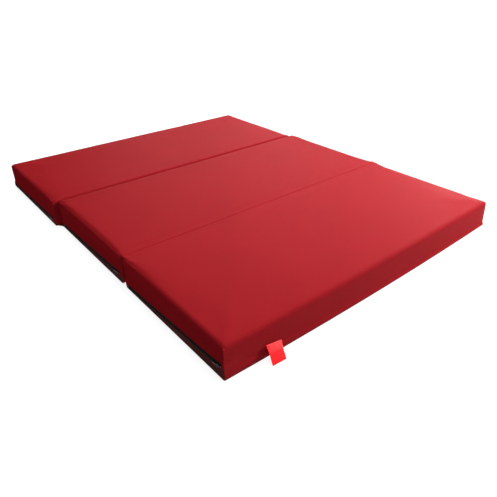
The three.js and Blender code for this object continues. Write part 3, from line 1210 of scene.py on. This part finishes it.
    def build_foam(self) -> bpy.types.Object:
        """Makes the foam block inside the cover.

        Returns:
            The foam.
        """
        inset = Vector((self.foam_inset,) * 3)
        low, high = self.low + inset, self.high - inset
        ends = tuple(s * MM for s in (2.0, 5.0, 9.0, 14.0))
        xs = spaced(low.x, high.x, ends, 60 * MM)
        ys = spaced(low.y, high.y, ends, 60 * MM)
        zs = spaced(low.z, high.z, ends, 30 * MM)
        flat, quads, sides = box_lattice(xs, ys, zs)
        points = flat.copy()
        x_sides, y_sides = ((0, low.x, 1), (0, high.x, -1)), ((1, low.y, 1), (1, high.y, -1))
        for z_side in ((2, low.z, 1), (2, high.z, -1)):
            for side in x_sides + y_sides:
                round_edge(points, side, z_side, self.foam_round)
        for x_side in x_sides:
            for y_side in y_sides:
                round_edge(points, x_side, y_side, self.foam_round)
        points += noise_at(flat, 90 * MM, 5.3)[:, None] * 0.4 * MM
        points[:, 1] += self.drawn_back(flat)
        piece = mesh_object(f"{self.name}_foam", points, quads.tolist(), unfold(flat, quads, sides))
        piece.data.materials.append(self.finishes.foam)
        return piece

    def dress(self) -> list[bpy.types.Object]:
        """Makes the cover and the foam, and ties them to the frame.

        Returns:
            The pieces made.
        """
        cover = self.build()
        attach(cover, self.body)
        borders = ("top_panel", "base_panel", "border_front", "border_rear", "border_right")
        lefts = ("border_left_upper", "border_left_lower")
        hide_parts(*(f"{self.name}_{part}" for part in borders + lefts))
        foam = self.build_foam()
        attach(foam, self.body)
        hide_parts(f"{self.name}_foam_core")
        return [cover, foam]


# ---------------------------------------------------------------------------------------------------------
# The zips
# ---------------------------------------------------------------------------------------------------------


def rounded_plate(
    name: str, outline: list[Pair], low: float, high: float, bevel: float, holes: tuple[list[Pair], ...] = ()
) -> bpy.types.Object:
    """Makes a plate that lies across X, with softened edges.

    Args:
        name: The piece's name.
        outline: Its outline in (y, z), anticlockwise as seen from +X.
        low: Its lower x.
        high: Its higher x.
        bevel: How far its edges are rounded.
        holes: Outlines of holes through it.

    Returns:
        The new object, with its place in its mesh.
    """
    curve = bpy.data.curves.new(name, "CURVE")
    curve.dimensions = "2D"
    curve.fill_mode = "BOTH"
    curve.extrude = (high - low) / 2 - bevel
    curve.bevel_depth = bevel
    curve.bevel_resolution = 2
    curve.offset = -bevel
    for ring in (outline, *holes):
        spline = curve.splines.new("POLY")
        spline.points.add(len(ring) - 1)
        for point, (y, z) in zip(spline.points, ring):
            point.co = (y, z, 0, 1)
        spline.use_cyclic_u = True
    flat = placed(name, curve)
    bpy.context.view_layer.update()
    mesh = bpy.data.meshes.new_from_object(flat.evaluated_get(bpy.context.evaluated_depsgraph_get()))
    bpy.data.objects.remove(flat)
    turn = Matrix(((0, 0, 1, (low + high) / 2), (1, 0, 0, 0), (0, 1, 0, 0), (0, 0, 0, 1)))
    mesh.transform(turn)
    tidy = bmesh.new()
    tidy.from_mesh(mesh)
    bmesh.ops.remove_doubles(tidy, verts=tidy.verts, dist=0.01 * MM)
    bmesh.ops.recalc_face_normals(tidy, faces=tidy.faces)
    tidy.to_mesh(mesh)
    tidy.free()
    mesh.polygons.foreach_set("use_smooth", [True] * len(mesh.polygons))
    return placed(name, mesh)


def tube(name: str, path: list[Vector], radius: float, sides: int) -> bpy.types.Object:
    """Makes a round wire along a path.

    Args:
        name: The piece's name.
        path: Points of the wire's middle line.
        radius: The wire's radius.
        sides: Corners of its section.

    Returns:
        The new object, with closed ends.
    """
    last = len(path) - 1
    points, faces = [], []
    side = Vector()
    for index, at in enumerate(path):
        along = (path[min(index + 1, last)] - path[max(index - 1, 0)]).normalized()
        side = (side - along * side.dot(along)).normalized() if index else along.orthogonal().normalized()
        other = along.cross(side)
        for step in range(sides):
            angle = 2 * math.pi * step / sides
            points.append(at + (side * math.cos(angle) + other * math.sin(angle)) * radius)
    for ring in range(last):
        here, following = ring * sides, (ring + 1) * sides
        for step in range(sides):
            turned = (step + 1) % sides
            faces.append([here + step, here + turned, following + turned, following + step])
    faces.append(list(range(sides))[::-1])
    faces.append([last * sides + step for step in range(sides)])
    return mesh_object(name, np.array(points), faces)


def arc(centre: Pair, radius: float, start: float, end: float, steps: int) -> list[Pair]:
    """Points along an arc.

    Args:
        centre: Its centre.
        radius: Its radius.
        start: First angle, in degrees.
        end: Last angle, in degrees.
        steps: How many stretches it has.

    Returns:
        The points, both ends included.
    """
    angles = [math.radians(start + (end - start) * i / steps) for i in range(steps + 1)]
    return [(centre[0] + radius * math.cos(a), centre[1] + radius * math.sin(a)) for a in angles]


@dataclass
class Zip:
    """One zip along the left end of a block: two tapes, a nylon coil, end stops, slider and pull.

    Attributes:
        name: The block's name.
        finishes: The shared materials.
        teeth: The row that makes the coil.
        stitches: The row that makes its seams.
        pitch: Distance from one tooth to the next on the same tape.
        overlap: How far each tape reaches under the cover.
        tape_thickness: Thickness of a tape.
        tape_gap: Half of the gap between the tapes.
        stitch: Length, width and height of one stitch.
        stitch_pitch: Distance from one stitch to the next.
    """

    name: str
    finishes: Finishes
    teeth: BeadRow
    stitches: BeadRow
    pitch: float = 2.0 * MM
    overlap: float = 5.0 * MM
    tape_thickness: float = 0.7 * MM
    tape_gap: float = 0.35 * MM
    stitch: Triple = (3.4 * MM, 0.7 * MM, 0.55 * MM)
    stitch_pitch: float = 4.2 * MM

    def __post_init__(self) -> None:
        """Reads where the zip is from the frame."""
        self.line = ZipLine(self.name)
        self.middle = self.line.pin.z
        self.low, self.high = self.level_box("zip_teeth", 2.5 * MM)
        self.tape_low, self.tape_high = self.level_box("zip_tape_upper", 5.8 * MM)
        self.slider_low, self.slider_high = self.level_box("zip_slider", 4.6 * MM)
        self.pull_low, self.pull_high = self.level_box("zip_pull", 2.5 * MM)
        self.face = self.tape_low.x

    @property
    def body(self) -> str:
        """The block's CAD body."""
        return f"{self.name}_block"

    def level_box(self, part: str, half: float) -> tuple[Vector, Vector]:
        """Where a part of the zip would be if the zip were level at the pin's height.

        Args:
            part: The node's name after the block's.
            half: Half of the part's height across the zip.

        Returns:
            Its lowest and highest corners.
        """
        low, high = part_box(f"{self.name}_{part}")
        pin, cosine = self.line.pin, self.line.along.y
        ys = [pin.y + (y - pin.y) / cosine for y in (low.y, high.y)]
        return Vector((low.x, ys[0], pin.z - half)), Vector((high.x, ys[1], pin.z + half))

    def settled(self, piece: bpy.types.Object, node: str, body: str) -> bpy.types.Object:
        """Turns a piece onto the zip's slope and ties it to the frame.

        Args:
            piece: The piece, made level.
            node: The CAD node that it stands for, or nothing.
            body: The CAD body that it rides on.

        Returns:
            The same piece.
        """
        piece.data.transform(self.line.turn())
        piece.data.update()
        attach(piece, body)
        if node:
            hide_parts(node)
        return piece

    def level_line(self, x: float, z: float, step: float = 6 * MM) -> np.ndarray:
        """A line along the zip, with the slight wave that the sewn tape has.

        Args:
            x: Its place across the zip's face.
            z: Its height.
            step: Distance between its points.

        Returns:
            Points, N by 3.
        """
        count = max(2, round((self.high.y - self.low.y) / step))
        ys = np.linspace(self.low.y, self.high.y, count)
        points = np.stack([np.full(count, x), ys, np.full(count, z)], axis=-1)
        points[:, 2] += self.wave(ys)
        return points

    def wave(self, ys: np.ndarray) -> np.ndarray:
        """How far the tape strays up or down at each place along it."""
        ends = smoothstep((ys - self.low.y) / 0.05) * smoothstep((self.high.y - ys) / 0.05)
        return 0.5 * MM * np.sin(ys * 2 * math.pi / 0.14 + 1.3) * ends

    def tape(self, which: str, low: float, high: float) -> bpy.types.Object:
        """Makes one tape, its outer edge tucked under the cover.

        Args:
            which: "upper" or "lower".
            low: Its lower edge.
            high: Its upper edge.

        Returns:
            The tape.
        """
        ys = np.linspace(self.tape_low.y, self.tape_high.y, 150)
        across = np.linspace(low, high, 7)
        grid = np.empty((len(across), len(ys), 3))
        grid[:, :, 1] = ys[None, ::-1]
        grid[:, :, 2] = across[:, None] + self.wave(ys[::-1])[None]
        inner = np.abs(across - self.middle)
        ridge = 0.35 * MM * bell(inner - 3.0 * MM, 0.8 * MM)
        grid[:, :, 0] = self.face + 0.3 * MM - ridge[:, None]
        node = f"{self.name}_zip_tape_{which}"
        piece = slab(f"{node}_cloth", grid, self.tape_thickness, (ys[-1] - ys[0], high - low))
        piece.data.materials.append(self.finishes.tape)
        self.settled(piece, node, self.body)
        return piece

    def coil(self) -> bpy.types.Object:
        """Makes the two interlocked rows of coil teeth.

        Returns:
            One mesh with every tooth.
        """
        depth = self.high.x - self.low.x
        path = self.level_line(self.low.x + depth / 2, self.middle)
        size = (1.25 * MM, 3.4 * MM, depth * 0.98)
        rows = []
        for side in (-1, 1):
            offset = (0.0, side * self.pitch / 4, side * 0.85 * MM)
            rows.append(self.teeth.along(f"{self.name}_teeth_{side}", path, self.pitch, size, offset))
        piece = joined(f"{self.name}_zip_coil", rows)
        return self.settled(piece, f"{self.name}_zip_teeth", self.body)

    def stop(self, end: str) -> bpy.types.Object:
        """Makes one end stop: a bent metal clip over both tapes.

        Args:
            end: "front" or "rear".

        Returns:
            The stop.
        """
        node = f"{self.name}_zip_stop_{end}"
        low, high = self.level_box(f"zip_stop_{end}", 2.5 * MM)
        y0, y1, z0, z1 = low.y, high.y, low.z - 0.6 * MM, high.z + 0.6 * MM
        r = 1.1 * MM
        outline = [
            *arc((y1 - r, z1 - r), r, 0, 90, 4), *arc((y0 + r, z1 - r), r, 90, 180, 4),
            *arc((y0 + r, z0 + r), r, 180, 270, 4), *arc((y1 - r, z0 + r), r, 270, 360, 4),
        ]
        piece = rounded_plate(f"{node}_clip", outline, low.x, low.x + 1.6 * MM, 0.35 * MM)
        piece.data.materials.append(self.finishes.zinc)
        return self.settled(piece, node, self.body)

    def slider(self) -> bpy.types.Object:
        """Makes the slider: a shield-shaped shell over the coil with turned edges and a bridge for the pull.

        Returns:
            The slider.
        """
        low, high = self.slider_low, self.slider_high
        y0, y1, z, half = low.y, high.y, self.middle, (high.z - low.z) / 2
        plate_face = low.x + (self.pull_high.x - self.pull_low.x) / 2 + 1.9 * MM
        outline = [
            (y0, z - half * 0.62), (y0 + 2.5 * MM, z - half * 0.66), (y0 + 6 * MM, z - half),
            *arc((y1 - half * 0.8, z), half, -70, -25, 3), (y1, z - half * 0.25),
            (y1, z + half * 0.25), *arc((y1 - half * 0.8, z), half, 25, 70, 3),
            (y0 + 6 * MM, z + half), (y0 + 2.5 * MM, z + half * 0.66), (y0, z + half * 0.62),
        ]
        outline = [(min(max(y, y0), y1), v) for y, v in outline]
        top = rounded_plate("plate", outline, plate_face, plate_face + 1.5 * MM, 0.4 * MM)
        rails = []
        for side in (-1, 1):
            edge = z + side * (half - 0.8 * MM)
            stretch = y1 - y0 - 8 * MM
            ways = [y0 + 5 * MM + t * stretch for t in (0, 0.25, 0.5, 0.75, 1)]
            path = [Vector((plate_face + 1.4 * MM, y, edge)) for y in ways]
            rails.append(tube("rail", path, radius=0.75 * MM, sides=8))
        foot, centre_y = plate_face + 0.4 * MM, (y0 + y1) / 2
        bridge = []
        for step in range(11):
            angle = math.pi * step / 10
            x, y = foot - 3.1 * MM * math.sin(angle), centre_y - 4.4 * MM * math.cos(angle)
            bridge.append(Vector((x, y, z)))
        loop = tube("bridge", bridge, radius=0.65 * MM, sides=10)
        for part in (top, *rails, loop):
            part.data.materials.clear()
            part.data.materials.append(self.finishes.zinc)
        piece = joined(f"{self.name}_slider_body", [top, *rails, loop])
        return self.settled(piece, f"{self.name}_zip_slider", f"{self.name}_slider")

    def pull(self) -> bpy.types.Object:
        """Makes the pull: a rounded tag with a slot and a waist, its eye round the bridge.

        Returns:
            The pull.
        """
        low, high = self.pull_low, self.pull_high
        z, half = self.middle, (high.z - low.z) / 2
        pin_y = low.y + (high.x - low.x) / 2
        tip = high.y
        waist = pin_y + 8 * MM
        outline = [
            *arc((pin_y - 0.3 * MM, z), half * 0.95, 90, 270, 8),
            (waist, z - half * 0.62), (waist + 4 * MM, z - half * 0.85),
            *arc((tip - half, z), half, -80, 80, 10),
            (waist + 4 * MM, z + half * 0.85), (waist, z + half * 0.62),
        ]
        slot = [
            *arc((pin_y + 0.2 * MM, z), half * 0.5, 90, 270, 6),
            *arc((pin_y + 4.2 * MM, z), half * 0.42, -90, 90, 6),
        ]
        dimple = arc((tip - half * 1.5, z), half * 0.42, 0, 360, 12)[:-1]
        middle, plate_half = (low.x + high.x) / 2, 0.7 * MM
        faces = (middle - plate_half, middle + plate_half)
        piece = rounded_plate(f"{self.name}_pull_tag", outline, *faces, bevel=0.3 * MM, holes=(slot, dimple))
        piece.data.materials.append(self.finishes.zinc)
        return self.settled(piece, f"{self.name}_zip_pull", f"{self.name}_pull")

    def seams(self) -> list[bpy.types.Object]:
        """Makes the two rows of stitches that hold the tapes.

        Returns:
            The rows.
        """
        rows = []
        over = {"upper": self.tape_high.z + 2.6 * MM, "lower": self.tape_low.z - 2.6 * MM}
        for which, height in over.items():
            path = self.level_line(self.face - 0.75 * MM, height)
            name = f"{self.name}_zip_stitches_{which}"
            row = self.stitches.along(name, path, self.stitch_pitch, self.stitch, jitter=0.06)
            rows.append(self.settled(row, "", self.body))
        return rows

    def dress(self) -> list[bpy.types.Object]:
        """Makes every piece of the zip.

        Returns:
            The pieces made.
        """
        return [
            self.tape("upper", self.middle + self.tape_gap, self.tape_high.z + self.overlap),
            self.tape("lower", self.tape_low.z - self.overlap, self.middle - self.tape_gap),
            self.coil(),
            self.stop("front"),
            self.stop("rear"),
            self.slider(),
            self.pull(),
            *self.seams(),
        ]


# ---------------------------------------------------------------------------------------------------------
# Hinges and tab
# ---------------------------------------------------------------------------------------------------------


@dataclass
class HingeStrip:
    """A strip of cloth that joins two blocks along a fold.

    Attributes:
        node: The CAD node that it stands for.
        material: Its finish.
        slot: The record's material slot; not used.
        joint: The fold's joint.
        stitches: The row that makes its seams, or nothing where they don't show.
        thickness: Its thickness.
        bend: Half of the width that bends; not used.
        crease: Depth of the crease along its middle.
        sink: How far its edges sink towards the blocks.
        columns: Columns of its grid.
        stitch: Length, width and height of one stitch.
        stitch_pitch: Distance from one stitch to the next.
    """

    node: str
    material: bpy.types.Material
    slot: str
    joint: str
    stitches: BeadRow | None = None
    thickness: float = 0.9 * MM
    bend: float = 5 * MM
    crease: float = 2.4 * MM
    sink: float = 0.3 * MM
    columns: int = 150
    stitch: Triple = (3.4 * MM, 0.75 * MM, 0.5 * MM)
    stitch_pitch: float = 4.2 * MM

    def __post_init__(self) -> None:
        """Reads the fold from the frame."""
        found = next(j for j in frame["joints"] if j["name"] == self.joint)
        self.parent, self.child = found["parent"], found["child"]
        self.pin = Vector(found["pos_m"])
        self.low, self.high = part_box(self.node)
        self.on_top = self.pin.z > self.high.z

    def skew(self) -> float:
        """How far the strip's rear edge is shifted along X against its front edge.

        Returns:
            The shift, in metres.
        """
        corners = [v.co for v in frame["nodes"][self.node].data.vertices]
        front = min(c.x for c in corners if c.y < self.pin.y)
        rear = min(c.x for c in corners if c.y > self.pin.y)
        return rear - front

    def surface(self, level: float) -> np.ndarray:
        """The strip's outer face.

        Args:
            level: Its height beside the fold.

        Returns:
            Rows from front to rear by columns, by 3.
        """
        half = (self.high.y - self.low.y) / 2
        close = np.array((0.0, 0.8, 1.6, 2.6, 4.0, 6.0, 9.0)) * MM
        reach = np.concatenate([close, np.linspace(9.0 * MM, half, 6)[1:]])
        offsets = np.concatenate([-reach[:0:-1], reach])
        front_x = max(self.low.x, self.low.x - self.skew())
        width = (self.high.x - self.low.x) - abs(self.skew())
        xs = np.linspace(front_x, front_x + width, self.columns)
        grid = np.empty((len(offsets), len(xs), 3))
        share = (offsets + half) / (2 * half)
        grid[:, :, 0] = xs[None] + self.skew() * share[:, None]
        grid[:, :, 1] = self.pin.y + offsets[:, None]
        grid[:, :, 2] = level
        inward = -1 if self.on_top else 1
        edge = (offsets / half) ** 2
        grid[:, :, 2] += inward * self.sink * edge[:, None]
        ripple = noise_at(grid.reshape(-1, 3) * np.array((1, 0.2, 1)), 45 * MM, 2.2).reshape(grid.shape[:2])
        fold = bell(offsets, 3.5 * MM)[:, None]
        grid[:, :, 2] += inward * (self.crease * fold * (1 + 0.25 * ripple))
        loose = bell(offsets, half)[:, None]
        grid[:, :, 2] += inward * 0.25 * MM * np.abs(ripple) * loose
        return grid

    def dress(self) -> list[bpy.types.Object]:
        """Makes the strip and, where they show, its two rows of stitches.

        Returns:
            The pieces made.
        """
        level = self.high.z + 0.18 * MM if self.on_top else 0.3 * MM
        grid = self.surface(level)
        flat = (self.high.x - self.low.x - abs(self.skew()), self.high.y - self.low.y)
        if not self.on_top:
            grid = grid[:, ::-1]
        piece = slab(f"{self.node}_cloth", grid, self.thickness, flat)
        piece.data.materials.append(self.material)
        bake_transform(piece)
        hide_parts(self.node)
        if self.stitches is None:
            return [piece]
        rows = []
        for body, row in ((self.parent, 1), (self.child, -2)):
            path = grid[row].copy()
            path[:, 2] += (0.15 if self.on_top else -0.15) * MM
            name = f"{self.node}_stitches_{body.removesuffix('_block')}"
            stitches = self.stitches.along(name, path, self.stitch_pitch, self.stitch, jitter=0.06)
            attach(stitches, body)
            rows.append(stitches)
        return [piece, *rows]


@dataclass
class LabelTab:
    """A blank satin ribbon, sewn by one end to the front border, with its loose end on the floor.

    Attributes:
        finishes: The shared materials.
        stitches: The row that makes its seam.
        front_bow: How far the border bows out behind it.
        thickness: Its thickness.
        width: Its width.
        length: Its length from the seam to the loose end.
        tilt: How far its sewn edge is turned, in radians.
        crease: How far out, how high and how far along X the crease is, at its left and its right edge.
        loose_end: The same for the loose end.
        stitch: Length, width and height of one stitch.
        stitch_pitch: Distance from one stitch to the next.
    """

    finishes: Finishes
    stitches: BeadRow
    front_bow: float
    thickness: float = 0.7 * MM
    width: float = 66 * MM
    length: float = 66 * MM
    tilt: float = math.radians(11.5)
    crease: tuple[Triple, Triple] = ((22 * MM, 31.5 * MM, -3 * MM), (19 * MM, 29.5 * MM, -12 * MM))
    loose_end: tuple[Triple, Triple] = ((41 * MM, 1 * MM, -7 * MM), (44 * MM, 1 * MM, -18 * MM))
    stitch: Triple = (2.6 * MM, 0.6 * MM, 0.5 * MM)
    stitch_pitch: float = 3.2 * MM

    def __post_init__(self) -> None:
        """Reads the tab's place from the frame."""
        self.low, self.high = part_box("label_tab")

    def surface(self) -> np.ndarray:
        """The ribbon's outer face, from its loose end up to its sewn edge.

        Returns:
            Rows by columns by 3.
        """
        rows, columns = 37, 15
        wall = self.high.y - self.front_bow
        lift = math.sin(self.tilt) * self.width / 2
        sewn = ((0.0, self.high.z - 1 * MM + lift, 0.0), (0.0, self.high.z - 1 * MM - lift, 0.0))
        grid = np.empty((rows, columns, 3))
        for column in range(columns):
            s = column / (columns - 1)
            edges = (self.loose_end, self.crease, sewn)
            stations = [np.array(left) * (1 - s) + np.array(right) * s for left, right in edges]
            for row in range(rows):
                t = row / (rows - 1)
                out, z, shift = (np.interp(t, (0.0, 0.55, 1.0), values) for values in zip(*stations))
                curl = 1.2 * MM * math.sin(math.pi * t) * math.sin(3.3 * s - 1.0)
                x = self.high.x - self.width * (1 - s) + shift
                grid[row, column] = (x, wall - out - curl, max(z + 0.3 * curl, 0.9 * MM))
        return grid

    def dress(self) -> list[bpy.types.Object]:
        """Makes the ribbon and the row of stitches at its top.

        Returns:
            The pieces made.
        """
        grid = self.surface()
        piece = slab("label_ribbon", grid, self.thickness, (self.width, self.length))
        piece.data.materials.append(self.finishes.ribbon)
        add_subdivision(piece)
        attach(piece, "front_block")
        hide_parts("label_tab")
        path = grid[-2, 1:-1].copy()
        path[:, 1] -= 0.2 * MM
        row = self.stitches.along("label_stitches", path, self.stitch_pitch, self.stitch, jitter=0.05)
        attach(row, "front_block")
        return [piece, row]


# ---------------------------------------------------------------------------------------------------------
# Stage
# ---------------------------------------------------------------------------------------------------------


@dataclass
class Studio:
    """A pale floor, soft lights and the camera.

    Attributes:
        camera_place: Where the camera stands.
        camera_aim: The way that it looks.
        camera_roll: How far it is rolled, in radians.
        lens: Its focal length in millimetres.
    """

    camera_place: Triple = (-1.327, -1.7737, 1.0684)
    camera_aim: Triple = (0.5412, 0.6624, -0.5181)
    camera_roll: float = math.radians(-0.46)
    lens: float = 34.6

    def floor(self) -> None:
        """Lays the floor."""
        mesh = bpy.data.meshes.new("studio_floor")
        reach = 30.0
        corners = [(-reach, -reach, 0), (reach, -reach, 0), (reach, reach, 0), (-reach, reach, 0)]
        mesh.from_pydata(corners, [], [(0, 1, 2, 3)])
        floor = placed("studio_floor", mesh)
        material, tree = new_material("white_paper_floor")
        sheet = add_node(tree, "ShaderNodeBsdfDiffuse", {"Color": (0.25, 0.25, 0.25, 1)})
        glow = add_node(tree, "ShaderNodeEmission", {"Strength": 0.78})
        lit = add_node(tree, "ShaderNodeAddShader", {0: sheet.outputs["BSDF"], 1: glow.outputs["Emission"]})
        add_node(tree, "ShaderNodeOutputMaterial", {"Surface": lit.outputs["Shader"]})
        mesh.materials.append(material)

    def light(self, name: str, place: Triple, aim: Triple, size: float, power: float) -> None:
        """Adds one soft square light.

        Args:
            name: Its name.
            place: Where it stands.
            aim: The point that it faces.
            size: Its side.
            power: Its power in watts.
        """
        lamp = bpy.data.lights.new(name, "AREA")
        lamp.size, lamp.energy = size, power
        holder = placed(name, lamp)
        holder.location = place
        holder.rotation_euler = (Vector(aim) - Vector(place)).to_track_quat("-Z", "Y").to_euler()

    def sky_panel(self) -> None:
        """Adds the even light from overhead, wide enough to have no hard shadow."""
        lamp = bpy.data.lights.new("overhead_diffuser", "SUN")
        lamp.energy = 0.97 * math.pi
        lamp.angle = math.radians(50)
        placed("overhead_diffuser", lamp)

    def world(self) -> None:
        """Makes the world nearly dark, so that the lights alone shape the object."""
        world = bpy.data.worlds.new("studio")
        world.use_nodes = True
        backdrop = world.node_tree.nodes["Background"]
        backdrop.inputs["Color"].default_value = (1, 1, 1, 1)
        backdrop.inputs["Strength"].default_value = 0.02
        scene = bpy.context.scene
        scene.world = world
        scene.view_settings.view_transform = "Standard"

    def camera(self) -> None:
        """Sets up the camera."""
        eye = bpy.data.cameras.new("camera")
        eye.lens, eye.sensor_width = self.lens, 36.0
        eye.clip_end = 100.0
        holder = placed("camera", eye)
        holder.location = self.camera_place
        level = Vector(self.camera_aim).to_track_quat("-Z", "Y")
        holder.rotation_euler = (level @ Quaternion((0, 0, 1), self.camera_roll)).to_euler()
        bpy.context.scene.camera = holder

    def build(self) -> None:
        """Makes the floor, the lights, the world and the camera."""
        self.floor()
        self.sky_panel()
        self.light("right_front_softbox", (2.4, -2.0, 1.6), (0.2, -0.4, 0.05), 1.2, 205)
        self.light("right_softbox", (2.4, -0.6, 1.0), (0.2, -0.2, 0.05), 1.2, 26)
        self.light("centre_softbox", (0.2, -0.5, 1.3), (0.2, -0.5, 0.0), 0.9, 7.0)
        self.light("right_strip", (3.4, 0.4, 0.8), (0.4, 0.0, 0.1), 1.6, 82)
        self.light("right_rear_softbox", (2.2, 1.6, 1.2), (0.4, 0.0, 0.05), 1.4, 44)
        self.light("rear_softbox", (1.2, 2.6, 1.4), (0.2, 0.2, 0.05), 1.6, 38)
        self.world()
        self.camera()


def main() -> None:
    """Builds every sub-assembly around the frame."""
    logging.basicConfig(level=logging.INFO, format="%(name)s: %(message)s")
    Studio().build()
    finishes = Finishes()
    stitches = BeadRow("stitch_row", finishes.thread)
    teeth = BeadRow("coil_teeth_row", finishes.nylon)
    bow = 12 * MM
    # the tab hangs at three quarters of the way from the border's middle to its right end
    bow_at_tab = 0.6 * bow * (1 - 0.75**2)
    blocks = [
        PaddedBlock("front", Hinge.NONE, Hinge.TOP, finishes, front_bow=bow, tuck=True),
        PaddedBlock("middle", Hinge.TOP, Hinge.BASE, finishes),
        PaddedBlock("rear", Hinge.BASE, Hinge.NONE, finishes, shy_foot=13 * MM),
    ]
    makers: list[Callable[[], list[bpy.types.Object]]] = [block.dress for block in blocks]
    makers += [Zip(block.name, finishes, teeth, stitches).dress for block in blocks]
    makers += [
        HingeStrip("top_hinge_strip", finishes.cover, "crimson_fabric", "middle_fold").dress,
        HingeStrip("bottom_hinge_strip", finishes.base, "base_fabric", "rear_fold", stitches).dress,
        LabelTab(finishes, stitches, bow_at_tab).dress,
    ]
    for make in makers:
        for piece in make():
            LOG.info("%s: %d faces", piece.name, len(piece.data.polygons))


if __name__ == "__main__":
    main()
